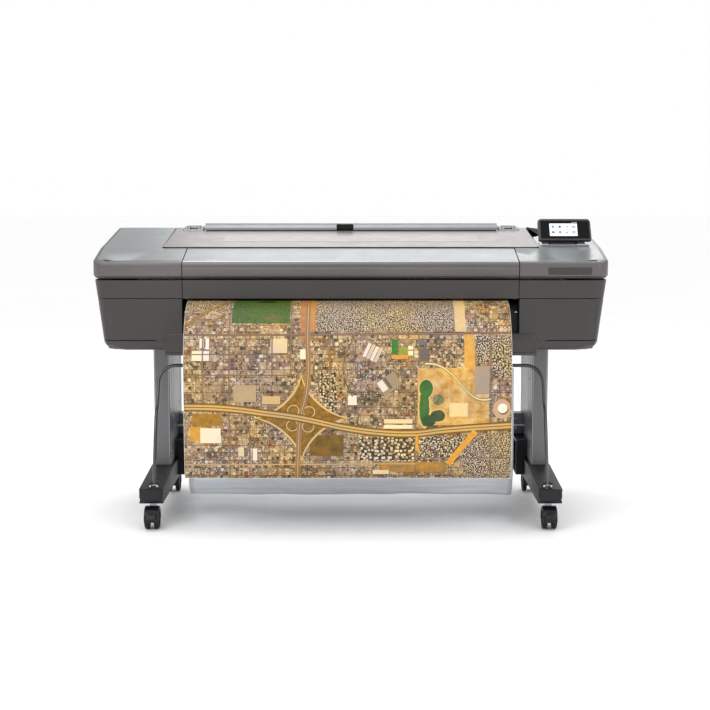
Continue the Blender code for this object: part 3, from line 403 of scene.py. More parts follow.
def smooth_path(points, per_span):
    """A Catmull-Rom curve through the points."""
    points = [Vector(p) for p in points]
    out = []
    for i in range(len(points) - 1):
        p0, p1 = points[max(i - 1, 0)], points[i]
        p2, p3 = points[i + 1], points[min(i + 2, len(points) - 1)]
        for t in (k / per_span for k in range(per_span)):
            square, cube = (2 * p0 - 5 * p1 + 4 * p2 - p3) * t * t, (3 * p1 - p0 - 3 * p2 + p3) * t**3
            out.append(0.5 * (2 * p1 + (p2 - p0) * t + square + cube))
    out.append(points[-1])
    return out


def lengths_along(points):
    """Distance from the first point to each point of a line."""
    places = [0.0]
    for a, b in zip(points, points[1:]):
        places.append(places[-1] + math.dist(a, b))
    return places


def cloth_grid(rows, layer):
    """An open mesh through rows of (point, u, v), with its UV map. It runs the way its rows do."""
    bm = bmesh.new()
    uv = bm.loops.layers.uv.new(layer)
    made = [[(bm.verts.new(point), u, v) for point, u, v in row] for row in rows]
    for a, b in zip(made, made[1:]):
        for k in range(len(a) - 1):
            corners = (a[k], a[k + 1], b[k + 1], b[k])
            face = bm.faces.new([corner[0] for corner in corners])
            for loop, corner in zip(face.loops, corners):
                loop[uv].uv = corner[1:]
    return flat_mesh(bm)


def screw_heads(centres, normal, radius, bm=None):
    """Pan-head screws that stand on a face, each with a cross recess in the second material."""
    bm = bm or bmesh.new()
    normal = Vector(normal)
    for centre in map(Vector, centres):
        shoulder = centre + normal * radius * 0.35
        disc(centre, shoulder, radius, 20, bm)
        disc(shoulder, centre + normal * radius * 0.6, radius * 0.92, 20, bm, radius * 0.5)
        side = normal.orthogonal().normalized()
        at = centre + normal * radius * 0.605
        for direction in (side, normal.cross(side)):
            along, across = direction * radius * 0.42, normal.cross(direction) * radius * 0.09
            corners = [at + along * a + across * b for a, b in ((-1, -1), (1, -1), (1, 1), (-1, 1))]
            bm.faces.new([bm.verts.new(c) for c in corners]).material_index = 1
    return bm


def carry(node, material, bevel, segments=2, angle=30):
    """Dresses a CAD node that stays: welded, softly beveled and in its own finish."""
    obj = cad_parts[node]
    obj = bpy.data.objects[obj] if isinstance(obj, str) else obj
    obj.data.shade_smooth()
    obj.modifiers.new("weld", "WELD").merge_threshold = 0.00002
    round_edges(obj, bevel, segments, angle)
    obj.modifiers.new("normals", "WEIGHTED_NORMAL").weight = 80
    if not obj.material_slots:
        obj.data.materials.append(None)
    for place in obj.material_slots:
        place.material = MATERIALS[material]


# ---------------------------------------------------------------- end shells
CORNER = 0.045  # plan radius of the front corners
REAR_CORNER = 0.030
WALL = 0.003
BEND = (0.046, 0.034)  # half axes of the rounded bottom outer edge
BEND_HALF = HALF - 0.031  # half width at the top of that edge
BAND_HALF = HALF - 0.004  # half width at the top of the housing
FOOT_ROUND = 0.014  # height of the round along the bottom of the front
REAR_ROUND = 0.020
SIDE_YS = (-0.2, -0.1, 0.0, 0.1, 0.2, 0.3)


def quarter(share):
    """How far a quarter round has come in, for a share of its height."""
    return 1 - math.sqrt(max(0.0, 1 - share * share))


def side_x(z):
    """Outer half width of the end housing at that height."""
    bend_top = BODY_BOTTOM + BEND[1]
    if z < bend_top:
        return BEND_HALF - BEND[0] * quarter((bend_top - z) / BEND[1])
    return BEND_HALF + (BAND_HALF - BEND_HALF) * (z - bend_top) / (BAND_TOP - bend_top)


def front_y(z):
    """Front face of the end housing and of the fascia at that height."""
    foot = BODY_BOTTOM + FOOT_ROUND
    if z < foot:
        return DOOR_FRONT + 0.007 + 0.017 * quarter((foot - z) / FOOT_ROUND)
    if z < DOOR_LOW:
        return DOOR_FRONT + 0.007 - 0.005 * (z - foot) / (DOOR_LOW - foot)
    if z < DOOR_HIGH:
        return DOOR_FRONT + 0.002 - 0.002 * (z - DOOR_LOW) / (DOOR_HIGH - DOOR_LOW)
    return DOOR_FRONT + (FASCIA_FRONT - DOOR_FRONT) * (z - DOOR_HIGH) / (BAND_TOP - DOOR_HIGH)


def rear_y(z):
    return BODY_REAR - REAR_ROUND * quarter(max(0.0, BODY_BOTTOM + REAR_ROUND - z) / REAR_ROUND)


def plan(half, front, rear, inset, starts, corner_steps=14, side_ys=SIDE_YS, rear_to=SEAM):
    """The outline of an end at one height, from its front columns round to the rear."""
    corner = CORNER - inset
    half, front, rear = half - inset, front + inset, rear - inset
    centre = (half - corner, front + corner)
    points = []
    for x in starts:
        over = max(0.0, x - centre[0])
        points.append((x, centre[1] - math.sqrt(max(0.0, corner * corner - over * over))))
    last = math.asin(min(1.0, max(0.0, starts[-1] - centre[0]) / corner))
    for i in range(1, corner_steps + 1):
        a = last + (math.pi / 2 - last) * i / corner_steps
        points.append((centre[0] + corner * math.sin(a), centre[1] - corner * math.cos(a)))
    points += [(half, y) for y in side_ys]
    back = REAR_CORNER - min(inset, 0.02)
    points += arc((half - back, rear - back), back, 0, 90)
    return points + [(x, rear) for x in (0.78, 0.69, rear_to)]


def mirror_rows(rows, side):
    return [[(side * x, y, z) for x, y, z in row] for row in rows]


def groove_rows(z):
    """Heights and depths of a fine seam line."""
    return [(z - 0.0013, 0.0), (z - 0.0010, 0.0028), (z + 0.0010, 0.0028), (z + 0.0013, 0.0)]


SKIRT_REAR = -0.119  # where the housing's floor ends, at the skirt's rear edge
NOTCH = 0.6786  # height up to which the housing is open beside the skirt


def end_housing(word, side):
    """Lower shell of an end, open in front for its ink door and at the skirt."""
    starts = [SEAM + 0.0004, SKIRT_HALF + 0.0008, 0.72, 0.79, DOOR_OUTER + 0.0003]
    low, high = DOOR_LOW - 0.0004, DOOR_HIGH + 0.0007
    heights = [BODY_BOTTOM + BEND[1] * (1 - math.cos(math.radians(a))) for a in range(0, 81, 10)]
    heights = [(z, 0.0) for z in heights if z < low - 0.004] + groove_rows(low)
    heights += [(NOTCH, 0.0), (0.72, 0.0), (0.76, 0.0)] + groove_rows(high)
    heights += [(0.83, 0.0), (BAND_TOP - 0.0016, 0.0), (BAND_TOP - 0.0004, 0.0012)]
    bm = bmesh.new()
    rows = []
    for z, depth in heights:
        points = plan(side_x(z), front_y(z), rear_y(z), depth, starts)
        rows.append([bm.verts.new((side * x, y, z)) for x, y in points])
    for (z0, _), (z1, _), a, b in zip(heights, heights[1:], rows, rows[1:]):
        middle = (z0 + z1) / 2
        at_door = low - 0.0009 < middle < high + 0.0009
        first = len(starts) - 1 if at_door else int(middle < NOTCH)
        for i in range(first, len(a) - 1):
            bm.faces.new((a[i], a[i + 1], b[i + 1], b[i]))
    inner = [bm.verts.new((side * x, SKIRT_REAR, BODY_BOTTOM)) for x in starts[:2]]
    bm.faces.new(rows[0][1:] + inner)
    bmesh.ops.delete(bm, geom=[v for v in bm.verts if not v.link_faces], context="VERTS")
    orient(bm, lambda f: f.calc_center_median().x * side, lambda n: n.x * side > 0)
    obj = piece(word + "_end_shell", flat_mesh(bm), "body", replaces=word + "_end_housing", slot="body_dark")
    shell(obj, WALL, 0.0005)

    floor, rear, shelf = BODY_BOTTOM + 0.001, BODY_REAR - 0.004, 0.765
    cheek = [
        (SKIRT_REAR + 0.0002, floor), (BODY_REAR - 0.021, floor), (rear, BODY_BOTTOM + 0.02),
        (rear, BAND_TOP), (0.300, BAND_TOP), (0.300, shelf), (-0.120, shelf), (-0.120, BAND_TOP),
        (FASCIA_FRONT + 0.004, BAND_TOP), (DOOR_FRONT + 0.004, DOOR_HIGH + 0.002),
        (-0.262, DOOR_HIGH + 0.002), (-0.262, NOTCH + 0.0002), (SKIRT_REAR + 0.0002, NOTCH + 0.0002),
    ]
    low_x, high_x = sorted((side * (SEAM + 0.0002), side * (SEAM + WALL)))
    piece(word + "_inner_cheek", extrude(cheek, "X", low_x, high_x), "black", bevel=0.0004, slot="body_dark")


def ink_door(word, side):
    """Door of the ink bay, its lower inner corner rounded round the skirt."""
    notch, radius = SKIRT_HALF + 0.0016, 0.029
    arc_low = box("centre_skirt")[1][2] + 0.0016 - radius
    low, high = DOOR_LOW + 0.0016, DOOR_HIGH - 0.0004
    columns = [SEAM + 0.0014, 0.605]
    columns += [x for x, _ in arc((notch - radius, 0), radius, 90, 0, 6)]
    columns += [0.69, 0.74, 0.79, 0.82, 0.835, 0.845, DOOR_OUTER - 0.0001]
    rows = []
    for share in (0.0, 0.1, 0.3, 0.5, 0.7, 0.9, 1.0):
        row = []
        for x in columns:
            over = max(0.0, x - (notch - radius))
            floor = arc_low + math.sqrt(max(0.0, radius**2 - over**2)) if x <= notch else low
            z = floor + (high - floor) * share
            corner = max(0.0, x - (side_x(z) - CORNER))
            row.append((x, front_y(z) + CORNER - math.sqrt(CORNER**2 - corner**2), z))
        rows.append(row)
    bm = grid(mirror_rows(rows, side))
    bm.verts.ensure_lookup_table()
    last, after = bm.verts[7], bm.verts[8]
    below = bm.verts.new((side * notch, rows[0][7][1], low))
    bm.faces.new((below, after, last))
    orient(bm, face_area, lambda n: n.y < 0)
    obj = piece(word + "_door_skin", flat_mesh(bm), "body", word + "_door", word + "_ink_door", "body_dark")
    shell(obj, WALL, 0.0007)


COVER_STARTS = (SEAM + 0.0008, 0.66, 0.74, 0.80)
COVER_SIDE_YS = (-0.2, -0.15, -0.1002, -0.05, 0.05, 0.15, 0.25)
COVER_BORDER = (0.026, 0.012, 0.017, 0.020)
ROLLS = (0.018, 0.007, 0.016)  # how far the rim's rolled edge comes in at the front, side and rear
ROLL_RISES = (0.012, 0.007, 0.012)
# The second finish is painted shade: the body's darker plastic on the chamfer under the rim.
RIM_FINISH = ("body_rim", "body")  # the second is for the chamfer


def cover_ring(front, side, rear, corner=0.0):
    """One ring of a cover as (x, y, normal), set in from the plan by a depth for each way it faces."""
    base = plan(HALF, RIM_FRONT, BODY_REAR, 0.0, COVER_STARTS, 18, COVER_SIDE_YS, LID_HALF + 0.0018)
    ring = []
    for i, (x, y) in enumerate(base):
        before, after = Vector(base[max(i - 1, 0)]), Vector(base[min(i + 1, len(base) - 1)])
        run = (after - before).normalized()
        normal = Vector((-run.y, run.x))
        facing_front, facing_rear = max(0.0, normal.y) ** 1.5, max(0.0, -normal.y) ** 1.5
        facing_side = max(0.0, 1 - facing_front - facing_rear)
        amount = front * facing_front + side * facing_side + rear * facing_rear
        if 0.02 < normal.y < 0.98:
            amount += corner * 2 * abs(normal.x) * normal.y
        ring.append((x + normal.x * amount, y + normal.y * amount, normal))
    return ring


def border_ring(wider):
    """The ring where the silver panel meets the rim, set in a little further."""
    *depths, corner = COVER_BORDER
    return [(x, y) for x, y, _ in cover_ring(*(depth + wider for depth in depths), corner)]


def chamfer_painted_shade(obj):
    """Painted shade: gives the chamfer along the bottom of a rim, which faces down, the second material, the
    body's darker plastic.
    """
    for face in obj.data.polygons:
        if face.center.z < RIM_BOTTOM + 0.0098:
            face.material_index = 1


def cover(word, side):
    """Dark rim of a top cover with its chamfer and rolled edge, and the silver panel let into it."""
    rows = []
    for inset, rise in ((0.0080, 0.0002), (0.0074, 0.0008), (0.0006, 0.0092), (0.0, 0.0106)):
        rows.append([(x, y, RIM_BOTTOM + rise) for x, y, _ in cover_ring(inset, inset, inset)])
    for step in range(8):
        a = math.radians(90 * step / 7)
        ring = []
        for x, y, normal in cover_ring(*(roll * (1 - math.cos(a)) for roll in ROLLS)):
            facing = (max(0.0, normal.y), abs(normal.x), max(0.0, -normal.y))
            rise = min(0.012, sum(part * share for part, share in zip(ROLL_RISES, facing)))
            ring.append((x, y, surface_z(y) - rise * (1 - math.sin(a))))
        rows.append(ring)
    for wider, drop in ((0.0, 0.0), (0.0006, 0.0012), (0.004, 0.0030)):
        rows.append([(x, y, surface_z(y) - drop) for x, y in border_ring(wider)])
    rim = grid(mirror_rows(rows, side))
    orient(rim, lambda f: f.calc_center_median().x * side, lambda n: n.x * side > 0)
    node = word + "_top_cover"
    obj = piece(word + "_cover_rim", flat_mesh(rim), RIM_FINISH, replaces=node, slot="body_dark", angle=40)
    # Painted shade on the chamfer under the rim.
    chamfer_painted_shade(obj)
    shell(obj, WALL, 0.0005)

    crease = CREASE[0]
    ring = border_ring(0.0016)
    front = [p for p in ring if p[1] <= crease + 0.001]
    front[-1] = (front[-1][0], crease)
    rear = [p for p in ring if p[1] > crease + 0.001]
    bm = bmesh.new()

    def point(x, y):
        return bm.verts.new((side * x, y, surface_z(y) + 0.0001))

    front_verts = [point(x, y) for x, y in front]
    seam_corner = point(SEAM + 0.0008, crease)
    bay = point(LID_HALF + 0.0022, crease)
    rear_verts = [point(x, y) for x, y in rear + [(LID_HALF + 0.0022, rear[-1][1])]]
    bm.faces.new(front_verts + [bay, seam_corner])
    bm.faces.new(front_verts[-1:] + rear_verts + [bay])
    bmesh.ops.remove_doubles(bm, verts=bm.verts, dist=0.00002)
    orient(bm, face_area, lambda n: n.z > 0)
    bmesh.ops.triangulate(bm, faces=bm.faces)
    panel = piece(word + "_cover_panel", flat_mesh(bm), "silver", replaces=node, slot="top_silver")
    shell(panel, 0.0028, 0.0007)


for word, side in SIDES:
    end_housing(word, side)
    ink_door(word, side)
    cover(word, side)
    carry(word + "_ink_bay", "blue", 0.0015)


# ---------------------------------------------------------------- middle of the body
MIDDLE_HALF = SEAM - 0.0022
MIDDLE_XS = (-MIDDLE_HALF, -0.3, 0.0, 0.3, MIDDLE_HALF)
RIM_TOP = EDGE[1] - 0.012
RIB_LOW, RIB_HIGH = RIM_BOTTOM + 0.012, RIM_TOP - 0.004
WINDOW = ("window", "front_window")  # the moving body and the CAD node of the front window
LID = ("lid", "top_lid")


def across(line):
    """An open surface through a (Y, Z) line, over the whole middle of the body."""
    return grid([[(x, y, z) for x in MIDDLE_XS] for y, z in line])


def front_window():
    """Hinged front cover: silver slope, a light bead painted as the highlight along its front edge, plain
    roll, ribbed band and chamfer.
    """
    slope_foot = (EDGE[0] + 0.0030, EDGE[1] + 0.0030 * FRONT_SLOPE)
    bm = across([(CREASE[0] - 0.0008, CREASE[1] - 0.0002), slope_foot])
    orient(bm, face_area, lambda n: n.z > 0)
    shell(piece("window_slope", flat_mesh(bm), "silver", *WINDOW, "top_silver"), 0.0026, 0.0006)

    # Painted highlight: a light bead along the front edge, standing for its gleam.
    bead = ((0.0024, 0.0004), (0.0008, 0.0004), (-0.0008, -0.0006), (-0.0012, -0.0020), (0.0020, -0.0024))
    edge = extrude([(EDGE[0] + dy, EDGE[1] + dz) for dy, dz in bead], "X", -MIDDLE_HALF, MIDDLE_HALF)
    piece("window_bright_edge", edge, "bright", *WINDOW, "top_silver", 0.0003)

    sunk = RIM_FRONT + 0.0012  # the band behind the ribs
    roll = [(EDGE[0] - 0.0012, EDGE[1] - 0.0010)]
    roll += arc((EDGE[0] - 0.002, RIM_TOP - 0.001), (0.016, 0.0105), 90, 180, 7)
    roll += [(RIM_FRONT, RIB_HIGH), (sunk, RIB_HIGH - 0.0008), (sunk, RIB_LOW + 0.0008), (RIM_FRONT, RIB_LOW)]
    roll += [(RIM_FRONT, RIM_BOTTOM + 0.010), (RIM_FRONT + 0.0079, RIM_BOTTOM + 0.0004)]
    bm = across(roll)
    orient(bm, face_area, lambda n: n.y < 0)
    face = piece("window_face", flat_mesh(bm), RIM_FINISH, *WINDOW, "body_dark", angle=40)
    # Painted shade on the chamfer under the front band.
    chamfer_painted_shade(face)
    shell(face, 0.0028, 0.0004)

    pitch, depth, steps = 0.0046, 0.0010, 6
    count = int(2 * MIDDLE_HALF / pitch) * steps
    rows = []
    levels = ((RIB_LOW + 0.0010, 0), (RIB_LOW + 0.0016, 1), (RIB_HIGH - 0.0016, 1), (RIB_HIGH - 0.0010, 0))
    for z, level in levels:
        row = []
        for k in range(count + 1):
            x = -MIDDLE_HALF + 0.001 + k * (2 * MIDDLE_HALF - 0.002) / count
            wave = math.sin(math.pi * (k % steps) / steps) ** 0.7
            row.append((x, RIM_FRONT + 0.0013 - depth * level * wave, z))
        rows.append(row)
    bm = grid(rows)
    orient(bm, face_area, lambda n: n.y < 0)
    piece("window_ribs", flat_mesh(bm), "body_rim", *WINDOW, "body_dark", angle=75)


def seam_shadow_strips():
    """Painted shadow: dark strips sunk in the two joints between the middle of the body and its ends, for the
    shade inside the gaps.
    """
    deep = 0.003
    window_line = [
        (RIM_FRONT + 0.0092, RIM_BOTTOM + 0.0012),
        (RIM_FRONT + 0.0014, RIM_BOTTOM + 0.0112),
        (RIM_FRONT + 0.0014, EDGE[1] - 0.0130),
        (RIM_FRONT + 0.0058, EDGE[1] - 0.0052),
        (EDGE[0] + 0.0010, EDGE[1] - 0.0022),
        (CREASE[0] - 0.0012, CREASE[1] - 0.0018),
    ]
    fascia_line = [(front_y(z) - 0.0003, z) for z in (DOOR_HIGH + 0.001, BAND_TOP - 0.0005)]
    for word, side in SIDES:
        bm = bmesh.new()
        inner = [(y + deep, z - deep) for y, z in reversed(window_line)]
        extrude(window_line + inner, "X", side * (SEAM - 0.0019), side * (SEAM + 0.0006), bm)
        inner = [(y + deep, z) for y, z in reversed(fascia_line)]
        extrude(fascia_line + inner, "X", side * (SEAM - 0.0022), side * (SEAM + 0.0003), bm)
        # Painted shadow in the two seams.
        piece(word + "_seam_gasket", bm, "shadow", slot="black_plastic")


def skirt():
    """Panel over the basket's top, with a fine frame line round its face."""
    (_, front, bottom), (_, _, top) = box("centre_skirt")
    rings = ((0.0, 0.003), (0.001, 0.0008), (0.0026, 0.0), (0.0075, 0.0), (0.0080, 0.0012), (0.0098, 0.0012),
             (0.0104, 0.0002), (0.0118, 0.0))

    def ring(inset, y):
        radius, half = 0.028 - inset, SKIRT_HALF - inset
        points = [(-half, bottom + inset), (half, bottom + inset)]
        points += arc((half - radius, top - inset - radius), radius, 0, 90)
        points += arc((-half + radius, top - inset - radius), radius, 90, 180)
        return [(x, y, z) for x, z in points]

    bm = grid([ring(0.0, -0.122)] + [ring(inset, front + back) for inset, back in rings], closed=True)
    rim = [e for e in bm.edges if e.is_boundary and all(v.co.y < front + 0.0001 for v in e.verts)]
    bmesh.ops.contextual_create(bm, geom=rim)
    orient(bm, face_area, lambda n: n.y < 0)
    panel = piece("skirt_panel", flat_mesh(bm), "body", "root", "centre_skirt", "body_dark", angle=35)
    shell(panel, WALL, 0.0005)


LID_REAR = 0.2755


def lid_slope(y):
    """The lid's own top: a little proud of the body along its front edge."""
    return rear_slope(y) + 0.0045 * max(0.0, LID_REAR - y) / (LID_REAR - CREASE[0])


def lid():
    """Roll lid: bronze plate with round front corners, a turned-down front lip dark as painted shade under
    its edge, and a raised inlay.
    """
    front = box("top_lid")[0][1]
    half = LID_HALF - 0.0008
    plate = rounded(-half, half, front + 0.0006, LID_REAR, (0.012, 0.012, 0.002, 0.002))
    piece("lid_plate", slab(plate, -0.0024, -0.0004, lid_slope), "bronze", *LID, "lid_bronze", 0.0011)
    lip = (-half + 0.0012, half - 0.0012, front + 0.0016, front + 0.0075)
    # Painted shade: the lip is in the shadow finish, the dark band under the plate's front edge.
    lip = slab(rounded(*lip, (0.0105, 0.0105, 0.001, 0.001), 6), -0.0138, -0.0025, lid_slope)
    piece("lid_lip", lip, "shadow", *LID, "body_dark", 0.0006)
    for word, side in SIDES:
        x0, x1 = sorted((side * 0.6455, side * half))
        ear = slab(rounded(x0, x1, LID_REAR - 0.02, 0.3555, 0.003, 4), -0.0060, -0.0006, rear_slope)
        piece(word + "_lid_ear", ear, "bronze", *LID, "lid_bronze", 0.0011)
    inlay = slab(rounded(-0.470, 0.470, 0.015, 0.165, 0.006), -0.0006, 0.0002, lid_slope)
    piece("lid_inlay", inlay, "bronze_light", *LID, "lid_bronze", 0.00035, 2)
    groove = slab(rounded(-0.4715, 0.4715, 0.0135, 0.1665, 0.0075), -0.0005, -0.00035, lid_slope)
    piece("lid_inlay_line", groove, "body_rim", *LID, "lid_bronze")


front_window()
seam_shadow_strips()
skirt()
lid()
carry("rear_roll_cover", "grey_roll", 0.0012, 3, 20)
CARRIED = (
    ("body", 0.0008, "centre_fascia rear_panel"),
    ("grey_roll", 0.0012, "left_roll_guide right_roll_guide"),
    ("black", 0.0012, "roll_cover_latch"),
    ("black", 0.0010, "platen roll_spindle"),
    ("black", 0.0020, "print_carriage"),
    ("black", 0.0008, "power_inlet"),
    ("black", 0.0006, "power_switch"),
    ("gloss_black", 0.0010, "printhead_block"),
    ("steel", 0.0004, "left_side_plate right_side_plate"),
    ("steel", 0.0010, "main_beam"),
    ("steel", 0.0006, "carriage_rail bottom_pan"),
    ("steel", 0.0008, "carriage_motor basket_rear_rod"),
    ("aluminium", 0.0004, "drive_pulley idler_pulley"),
    ("rubber", 0.0003, "carriage_belt"),
    ("rubber", 0.0005, "feed_roller pinch_roller"),
    ("paper", 0.0008, "media_roll"),
    ("blue", 0.0012, "left_roll_hub right_roll_hub"),
    ("column", 0.0030, "left_column right_column"),
    ("foot", 0.0030, "left_foot right_foot"),
    ("brace", 0.0030, "cross_brace"),
    ("silver", 0.0015, "panel_base"),
)
for finish, edge, nodes in CARRIED:
    for node in nodes.split():
        carry(node, finish, edge)


# ---------------------------------------------------------------- control panel
PANEL_LOW, PANEL_HIGH = box("control_panel")
PANEL_X = (PANEL_LOW[0] + PANEL_HIGH[0]) / 2
PANEL_HALF = (PANEL_HIGH[0] - PANEL_LOW[0]) / 2
PANEL_PIVOT = Vector((PANEL_X, -0.028, 0.9935))
LEAN = math.radians(36)
PANEL_UP = Vector((0.0, math.sin(LEAN), math.cos(LEAN)))
PANEL_OUT = Vector((0.0, -math.cos(LEAN), math.sin(LEAN)))
PANEL_MIDDLE = 0.0325  # up from the pivot to the middle of the housing
PANEL_TALL_HALF = 0.0463
PANEL = ("panel", "control_panel")


def leaned(bm):
    """Stands a mesh drawn as (across, up, out) at the panel's pivot and lean."""
    for vert in bm.verts:
        x, up, out = vert.co
        vert.co = PANEL_PIVOT + Vector((x, 0.0, 0.0)) + PANEL_UP * up + PANEL_OUT * out
    return bm


def screen_materials():
    g = Graph("screen_white")
    patches = g.span(g.noise(g.object_coordinates(), 40.0), 0.3, 0.7)
    glow = g.mix(patches, (0.80, 0.84, 0.88), (0.90, 0.93, 0.96))
    g.link(glow, g.shader.inputs["Emission Color"])
    g.surface(Emission_Strength=0.30, Coat_Weight=0.4)
    MATERIALS["screen_white"] = g.finish(glow, 0.2)
    MATERIALS["icon_blue"] = moulded("icon_blue", srgb("2f93c9"), 0.3, spread=0.06)
    MATERIALS["icon_grey"] = moulded("icon_grey", srgb("5f666d"), 0.3, spread=0.06)
    MATERIALS["lamp_white"] = moulded("lamp_white", (0.8, 0.8, 0.8), 0.4, spread=0.03)


def panel_housing():
    half, radii = PANEL_HALF - 0.0002, (0.007, 0.007, 0.014, 0.014)
    back = rounded(-half, half, -0.0138, 0.0788, radii, 10)

    def ring(wide, tall, out):
        return [(x * wide, PANEL_MIDDLE + (y - PANEL_MIDDLE) * tall, out) for x, y in back]

    rows = [ring(0.965, 0.93, 0.0086), ring(0.985, 0.97, 0.0100), ring(1, 1, 0.0140), ring(1, 1, 0.0236)]
    for shrink, out in ((0.0003, 0.0246), (0.0010, 0.0253), (0.0020, 0.0257), (0.0042, 0.0257)):
        rows.append(ring(1 - shrink / PANEL_HALF, 1 - shrink / PANEL_TALL_HALF, out))
    bm = grid(rows, closed=True)
    rims = [e for e in bm.edges if e.is_boundary]
    for in_front in (False, True):
        bmesh.ops.contextual_create(bm, geom=[e for e in rims if (e.verts[0].co.z > 0.015) == in_front])
    piece("panel_housing", leaned(bm), "body", *PANEL, "black_plastic", angle=30)


def ribbon(points, half, low, high, bm):
    """A flat bent line of one width, for a drawn icon."""
    for (x0, y0), (x1, y1) in zip(points, points[1:]):
        run = Vector((x1 - x0, y1 - y0)).normalized()
        nx, ny = -run.y * half, run.x * half
        outline = [(x0 + nx, y0 + ny), (x1 + nx, y1 + ny), (x1 - nx, y1 - ny), (x0 - nx, y0 - ny)]
        extrude(outline, "Z", low, high, bm)


def icon(kind, cx, cy, level, bm):
    """One of four plain signs: a tray, a disc, a tick and a framed dash."""
    if kind == 0:
        extrude(rounded(cx - 0.0055, cx + 0.0055, cy - 0.0045, cy + 0.0030, 0.0008, 3), "Z", *level, bm)
        extrude(rounded(cx - 0.0030, cx + 0.0030, cy + 0.0036, cy + 0.0062, 0.0004, 2), "Z", *level, bm)
    elif kind == 1:
        extrude(arc((cx, cy), 0.0056, 0, 345, 22), "Z", *level, bm)
    elif kind == 2:
        tick = [(cx - 0.0052, cy + 0.001), (cx - 0.001, cy - 0.0034), (cx + 0.0054, cy + 0.0048)]
        ribbon(tick, 0.0016, *level, bm)
    else:
        square = [(cx - 0.0045, cy - 0.004), (cx - 0.0045, cy + 0.004), (cx + 0.0045, cy + 0.004)]
        ribbon(square + [(cx + 0.0045, cy - 0.004), (cx - 0.0050, cy - 0.004)], 0.0013, *level, bm)
        ribbon([(cx - 0.0025, cy), (cx + 0.0025, cy)], 0.0010, *level, bm)


def touch_screen():
    bezel = rounded(-PANEL_HALF + 0.009, PANEL_HALF - 0.006, -0.0085, 0.0700, (0.003, 0.003, 0.004, 0.004), 6)
    bezel = leaned(extrude(bezel, "Z", 0.0250, 0.0259))
    piece("panel_bezel", bezel, "gloss_black", "panel", "touch_screen", "screen", 0.0003)
    x0, x1 = (corner[0] - PANEL_X for corner in box("touch_screen"))
    x0, x1, y0, y1 = x0 + 0.006, x1 - 0.006, 0.0035, 0.0570
    display = leaned(extrude(rounded(x0, x1, y0, y1, 0.0006, 2), "Z", 0.0256, 0.02605))
    piece("screen_display", display, "screen_white", "panel", slot="screen")
    blue, grey = bmesh.new(), bmesh.new()
    level = (0.02590, 0.02630)
    for row, height in enumerate((0.74, 0.30)):
        for column in range(4):
            cx, cy = x0 + (x1 - x0) * (column + 0.5) / 4, y0 + (y1 - y0) * height
            icon(column, cx, cy, level, blue if row == column else grey)
            ribbon([(cx - 0.0050, cy - 0.0090), (cx + 0.0050, cy - 0.0090)], 0.0007, *level, grey)
    piece("screen_icons_blue", leaned(blue), "icon_blue", "panel", slot="screen")
    piece("screen_icons_grey", leaned(grey), "icon_grey", "panel", slot="screen")
    marks = bmesh.new()
    for x in (0.030, 0.036):
        extrude(rounded(x - 0.0016, x + 0.0016, 0.0600, 0.0628, 0.0005, 3), "Z", 0.0258, 0.02605, marks)
    disc((0.0435, 0.0614, 0.0258), (0.0435, 0.0614, 0.0261), 0.0021, 24, marks)
    piece("panel_status_marks", leaned(marks), "lamp_white", "panel", slot="screen")


def panel_stand():
    _, y, z = PANEL_PIVOT
    knuckle = disc((PANEL_X - 0.046, y, z), (PANEL_X + 0.036, y, z), 0.0068)
    piece("panel_knuckle", knuckle, "black", *PANEL, "black_plastic", 0.0008)
    (left, front, _), (right, rear, _) = box("panel_base")
    plinth = rounded(left + 0.001, right - 0.001, front, rear, (0.010, 0.010, 0.004, 0.004), 6)
    piece("panel_plinth", slab(plinth, 0.0002, 0.0030), "silver", "root", "panel_base", "top_silver", 0.0012)
    well = rounded(left + 0.010, right - 0.012, front + 0.020, rear - 0.003, 0.004, 4)
    piece("panel_well", slab(well, 0.0028, 0.0034), "shadow", slot="black_plastic")
    lip = rounded(left + 0.006, right - 0.006, front + 0.002, front + 0.014, 0.004, 5)
    piece("panel_front_lip", slab(lip, 0.0028, 0.0062), "silver", "root", "panel_base", "top_silver", 0.0014)
    lugs = bmesh.new()
    foot = surface_z(y) + 0.003
    for x in (-0.052, 0.042):
        outline = arc((y, z), 0.0078, 0, 180, 14) + [(y - 0.012, foot), (y + 0.012, foot)]
        extrude(outline, "X", PANEL_X + x - 0.0045, PANEL_X + x + 0.0045, lugs)
    piece("panel_lugs", lugs, "black", "root", "panel_base", "black_plastic", 0.0008)


screen_materials()
panel_housing()
touch_screen()
panel_stand()


# ---------------------------------------------------------------- small fittings
def badge():
    """The blank plate at the right of the rim, in its dark recess."""
    plate = rounded(0.688, 0.838, RIM_BOTTOM + 0.0145, RIM_BOTTOM + 0.0375, 0.003, 5)
    plate = extrude(plate, "Y", RIM_FRONT - 0.0001, RIM_FRONT + 0.0012)
    piece("badge_plate", plate, "body", slot="body_dark", bevel=0.0004)
    recess = rounded(0.6872, 0.8388, RIM_BOTTOM + 0.0137, RIM_BOTTOM + 0.0383, 0.0038, 5)
    piece("badge_recess", extrude(recess, "Y", RIM_FRONT, RIM_FRONT + 0.0010), "shadow", slot="body_dark")


def tabs_and_ribs():
    tabs = bmesh.new()
    for _, side in SIDES:
        for y, z in ((-0.215, 0.7960), (-0.252, 0.752)):
            block(around(side * 0.5795, 0.004), (y - 0.008, y + 0.003), (z, z + 0.0035), tabs)
    piece("edge_tabs", tabs, "paper", slot="aluminium", bevel=0.0006)
    ribs = bmesh.new()
    top = box("platen")[1][2]
    for k in range(46):
        block(around(-0.562 + k * 1.124 / 45, 0.0011), (-0.185, 0.048), around(top, 0.0006), ribs)
    piece("platen_ribs", ribs, "black", slot="black_plastic")


